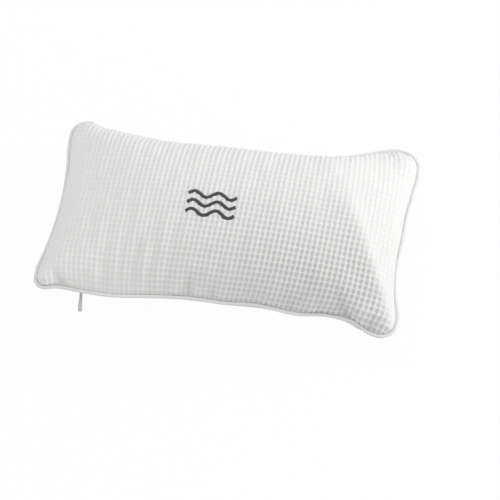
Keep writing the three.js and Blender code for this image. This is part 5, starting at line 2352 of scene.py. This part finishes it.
@dataclass(frozen=True)
class Studio:
    """The floor, the lamps and the camera, which stands where the photograph was taken from."""

    floor_level: float = -12.1 * MM
    floor_reach: float = 6.0
    floor_evenness: float = 0.95
    room_light: float = 0.73
    lamps: tuple[Lamp, ...] = (
        Lamp("key lamp", (1.48, 0.33, 0.66), 0.5, 8.9), Lamp("top lamp", (-0.55, 0.3, 1.5), 1.2, 2.5),
    )
    azimuth: float = 12.59
    elevation: float = 59.78
    roll: float = -4.12
    focal_pixels: float = 1500.0
    image_size: float = 500.0
    distance: float = 1.4473
    target: tuple[float, float, float] = (0.0, 0.0, 28 * MM)
    target_pixel: tuple[float, float] = (229.32, 221.55)
    sensor: float = 36.0

    def camera(self) -> None:
        """Sets up the camera."""
        held = (
            Matrix.Rotation(math.radians(self.azimuth), 3, "Z")
            @ Matrix.Rotation(math.radians(90 - self.elevation), 3, "X")
            @ Matrix.Rotation(math.radians(self.roll), 3, "Z")
        )
        off = Vector((
            self.target_pixel[0] - self.image_size / 2,
            self.image_size / 2 - self.target_pixel[1],
            -self.focal_pixels,
        ))
        aim = Vector((0, 0, -1)).rotation_difference(off).to_matrix()
        data = bpy.data.cameras.new("camera")
        data.sensor_width = self.sensor
        data.lens = self.focal_pixels / self.image_size * self.sensor
        camera = bpy.data.objects.new("camera", data)
        place = Matrix.Translation(Vector(self.target) + held.col[2] * self.distance)
        camera.matrix_world = place @ (held @ aim.transposed()).to_4x4()
        bpy.context.scene.collection.objects.link(camera)
        bpy.context.scene.camera = camera

    def floor(self) -> None:
        """Lays a plain white floor that keeps the pillow's shadow.

        It's clear from below and to the room's soft light, so the pillow's back can be seen.
        """
        material, tree = bare_material("Matt white paint")
        matt = add_node(tree, "ShaderNodeBsdfDiffuse", {"Color": linear("#F2F2F2")})
        bright = add_node(tree, "ShaderNodeEmission", {"Color": (1, 1, 1, 1), "Strength": 1.0})
        rays = add_node(tree, "ShaderNodeLightPath").outputs
        seen = rays["Is Camera Ray"]
        for kind in ("Is Glossy Ray", "Is Transmission Ray"):
            both = {0: seen, 1: rays[kind]}
            seen = add_node(tree, "ShaderNodeMath", both, operation="ADD").outputs[0]
        part = add_node(
            tree, "ShaderNodeMath", {0: seen, 1: self.floor_evenness}, operation="MULTIPLY",
            use_clamp=True,
        )
        mixed = add_node(
            tree, "ShaderNodeMixShader",
            {0: part.outputs[0], 1: matt.outputs[0], 2: bright.outputs[0]},
        )
        under = add_node(tree, "ShaderNodeNewGeometry").outputs["Backfacing"]
        see_through = add_node(
            tree, "ShaderNodeMath", {0: under, 1: rays["Is Diffuse Ray"]}, operation="MAXIMUM"
        )
        clear = add_node(tree, "ShaderNodeBsdfTransparent")
        one_sided = add_node(
            tree, "ShaderNodeMixShader",
            {0: see_through.outputs[0], 1: mixed.outputs[0], 2: clear.outputs[0]},
        )
        add_node(tree, "ShaderNodeOutputMaterial", {"Surface": one_sided.outputs[0]})
        points = np.column_stack([SQUARE * self.floor_reach, np.full(4, self.floor_level)])
        new_piece("floor", (points, [(0, 1, 2, 3)]), material)

    def world(self) -> None:
        """Sets an even pale room all round, white to the camera."""
        world = bpy.data.worlds.new("pale room")
        world.use_nodes = True
        tree = world.node_tree
        tree.nodes.clear()
        room, white = (
            add_node(tree, "ShaderNodeBackground", {"Color": (1, 1, 1, 1), "Strength": light})
            for light in (self.room_light, 1.0)
        )
        seen = add_node(tree, "ShaderNodeLightPath").outputs["Is Camera Ray"]
        mixed = add_node(
            tree, "ShaderNodeMixShader", {0: seen, 1: room.outputs[0], 2: white.outputs[0]}
        )
        add_node(tree, "ShaderNodeOutputWorld", {"Surface": mixed.outputs[0]})
        bpy.context.scene.world = world

    def build(self) -> None:
        """Sets up the whole studio."""
        self.camera()
        self.floor()
        self.world()
        for lamp in self.lamps:
            lamp.hang(Vector(self.target))
        bpy.context.scene.view_settings.view_transform = "Standard"


def main() -> None:
    """Builds the pillow and its studio, piece by piece."""
    logging.basicConfig(level=logging.INFO, format="%(name)s: %(message)s")
    Studio().build()
    cover = Cover()
    waves = StitchedWaves()
    waffle_cotton = WovenCotton().build()
    # The piping's plain cotton is the panels' white drawn greyer: painted shade, which tones down the
    # light that its round sleeve catches.
    piping_cotton_painted_grey = WovenCotton(name="Plain-woven cotton", colour="#EEEEED", shade="#E6E6E5").build()
    cloths = {side: cover.settled(side) for side in Side}
    for side in Side:
        WafflePanel(cover, cloths[side], waves).build(waffle_cotton)
    waves.build(cloths[Side.FRONT], RayonThread().build())
    piping = Piping(cover.form.seam)
    piping.sleeve(piping_cotton_painted_grey)
    piping.cord(WovenCotton(name="Twisted cotton yarn", colour="#F2F0EC", shade="#E6E3DD").build())
    bag = InnerBag(cover, cloths[Side.FRONT])
    lining = BondedLining().build()
    for side in Side:
        bag.half(side, lining)
    bag.filling(LooseFibre().build())
    chain = Zip(cover)
    chain.tapes(WovenTape().build())
    nylon = MouldedPlastic(
        "Satin nylon", colour="#F1F1F0", shade="#E9E9E8", roughness=0.33, ior=1.53
    ).build()
    chain.coils(nylon)
    chain.stops(nylon)
    chain.slider(PaintedZinc().build())
    ZipPull().build(MouldedPlastic(
        "Moulded ABS", colour="#C6C7C9", shade="#BFC0C2", roughness=0.37, ior=1.53
    ).build())
    acetal = MouldedPlastic(
        "Moulded acetal", colour="#F2F2F1", shade="#EBEBEA", roughness=0.25, ior=1.48
    ).build()
    CupSet().build(ClearPvc().build(), acetal)


if __name__ == "__main__":
    main()
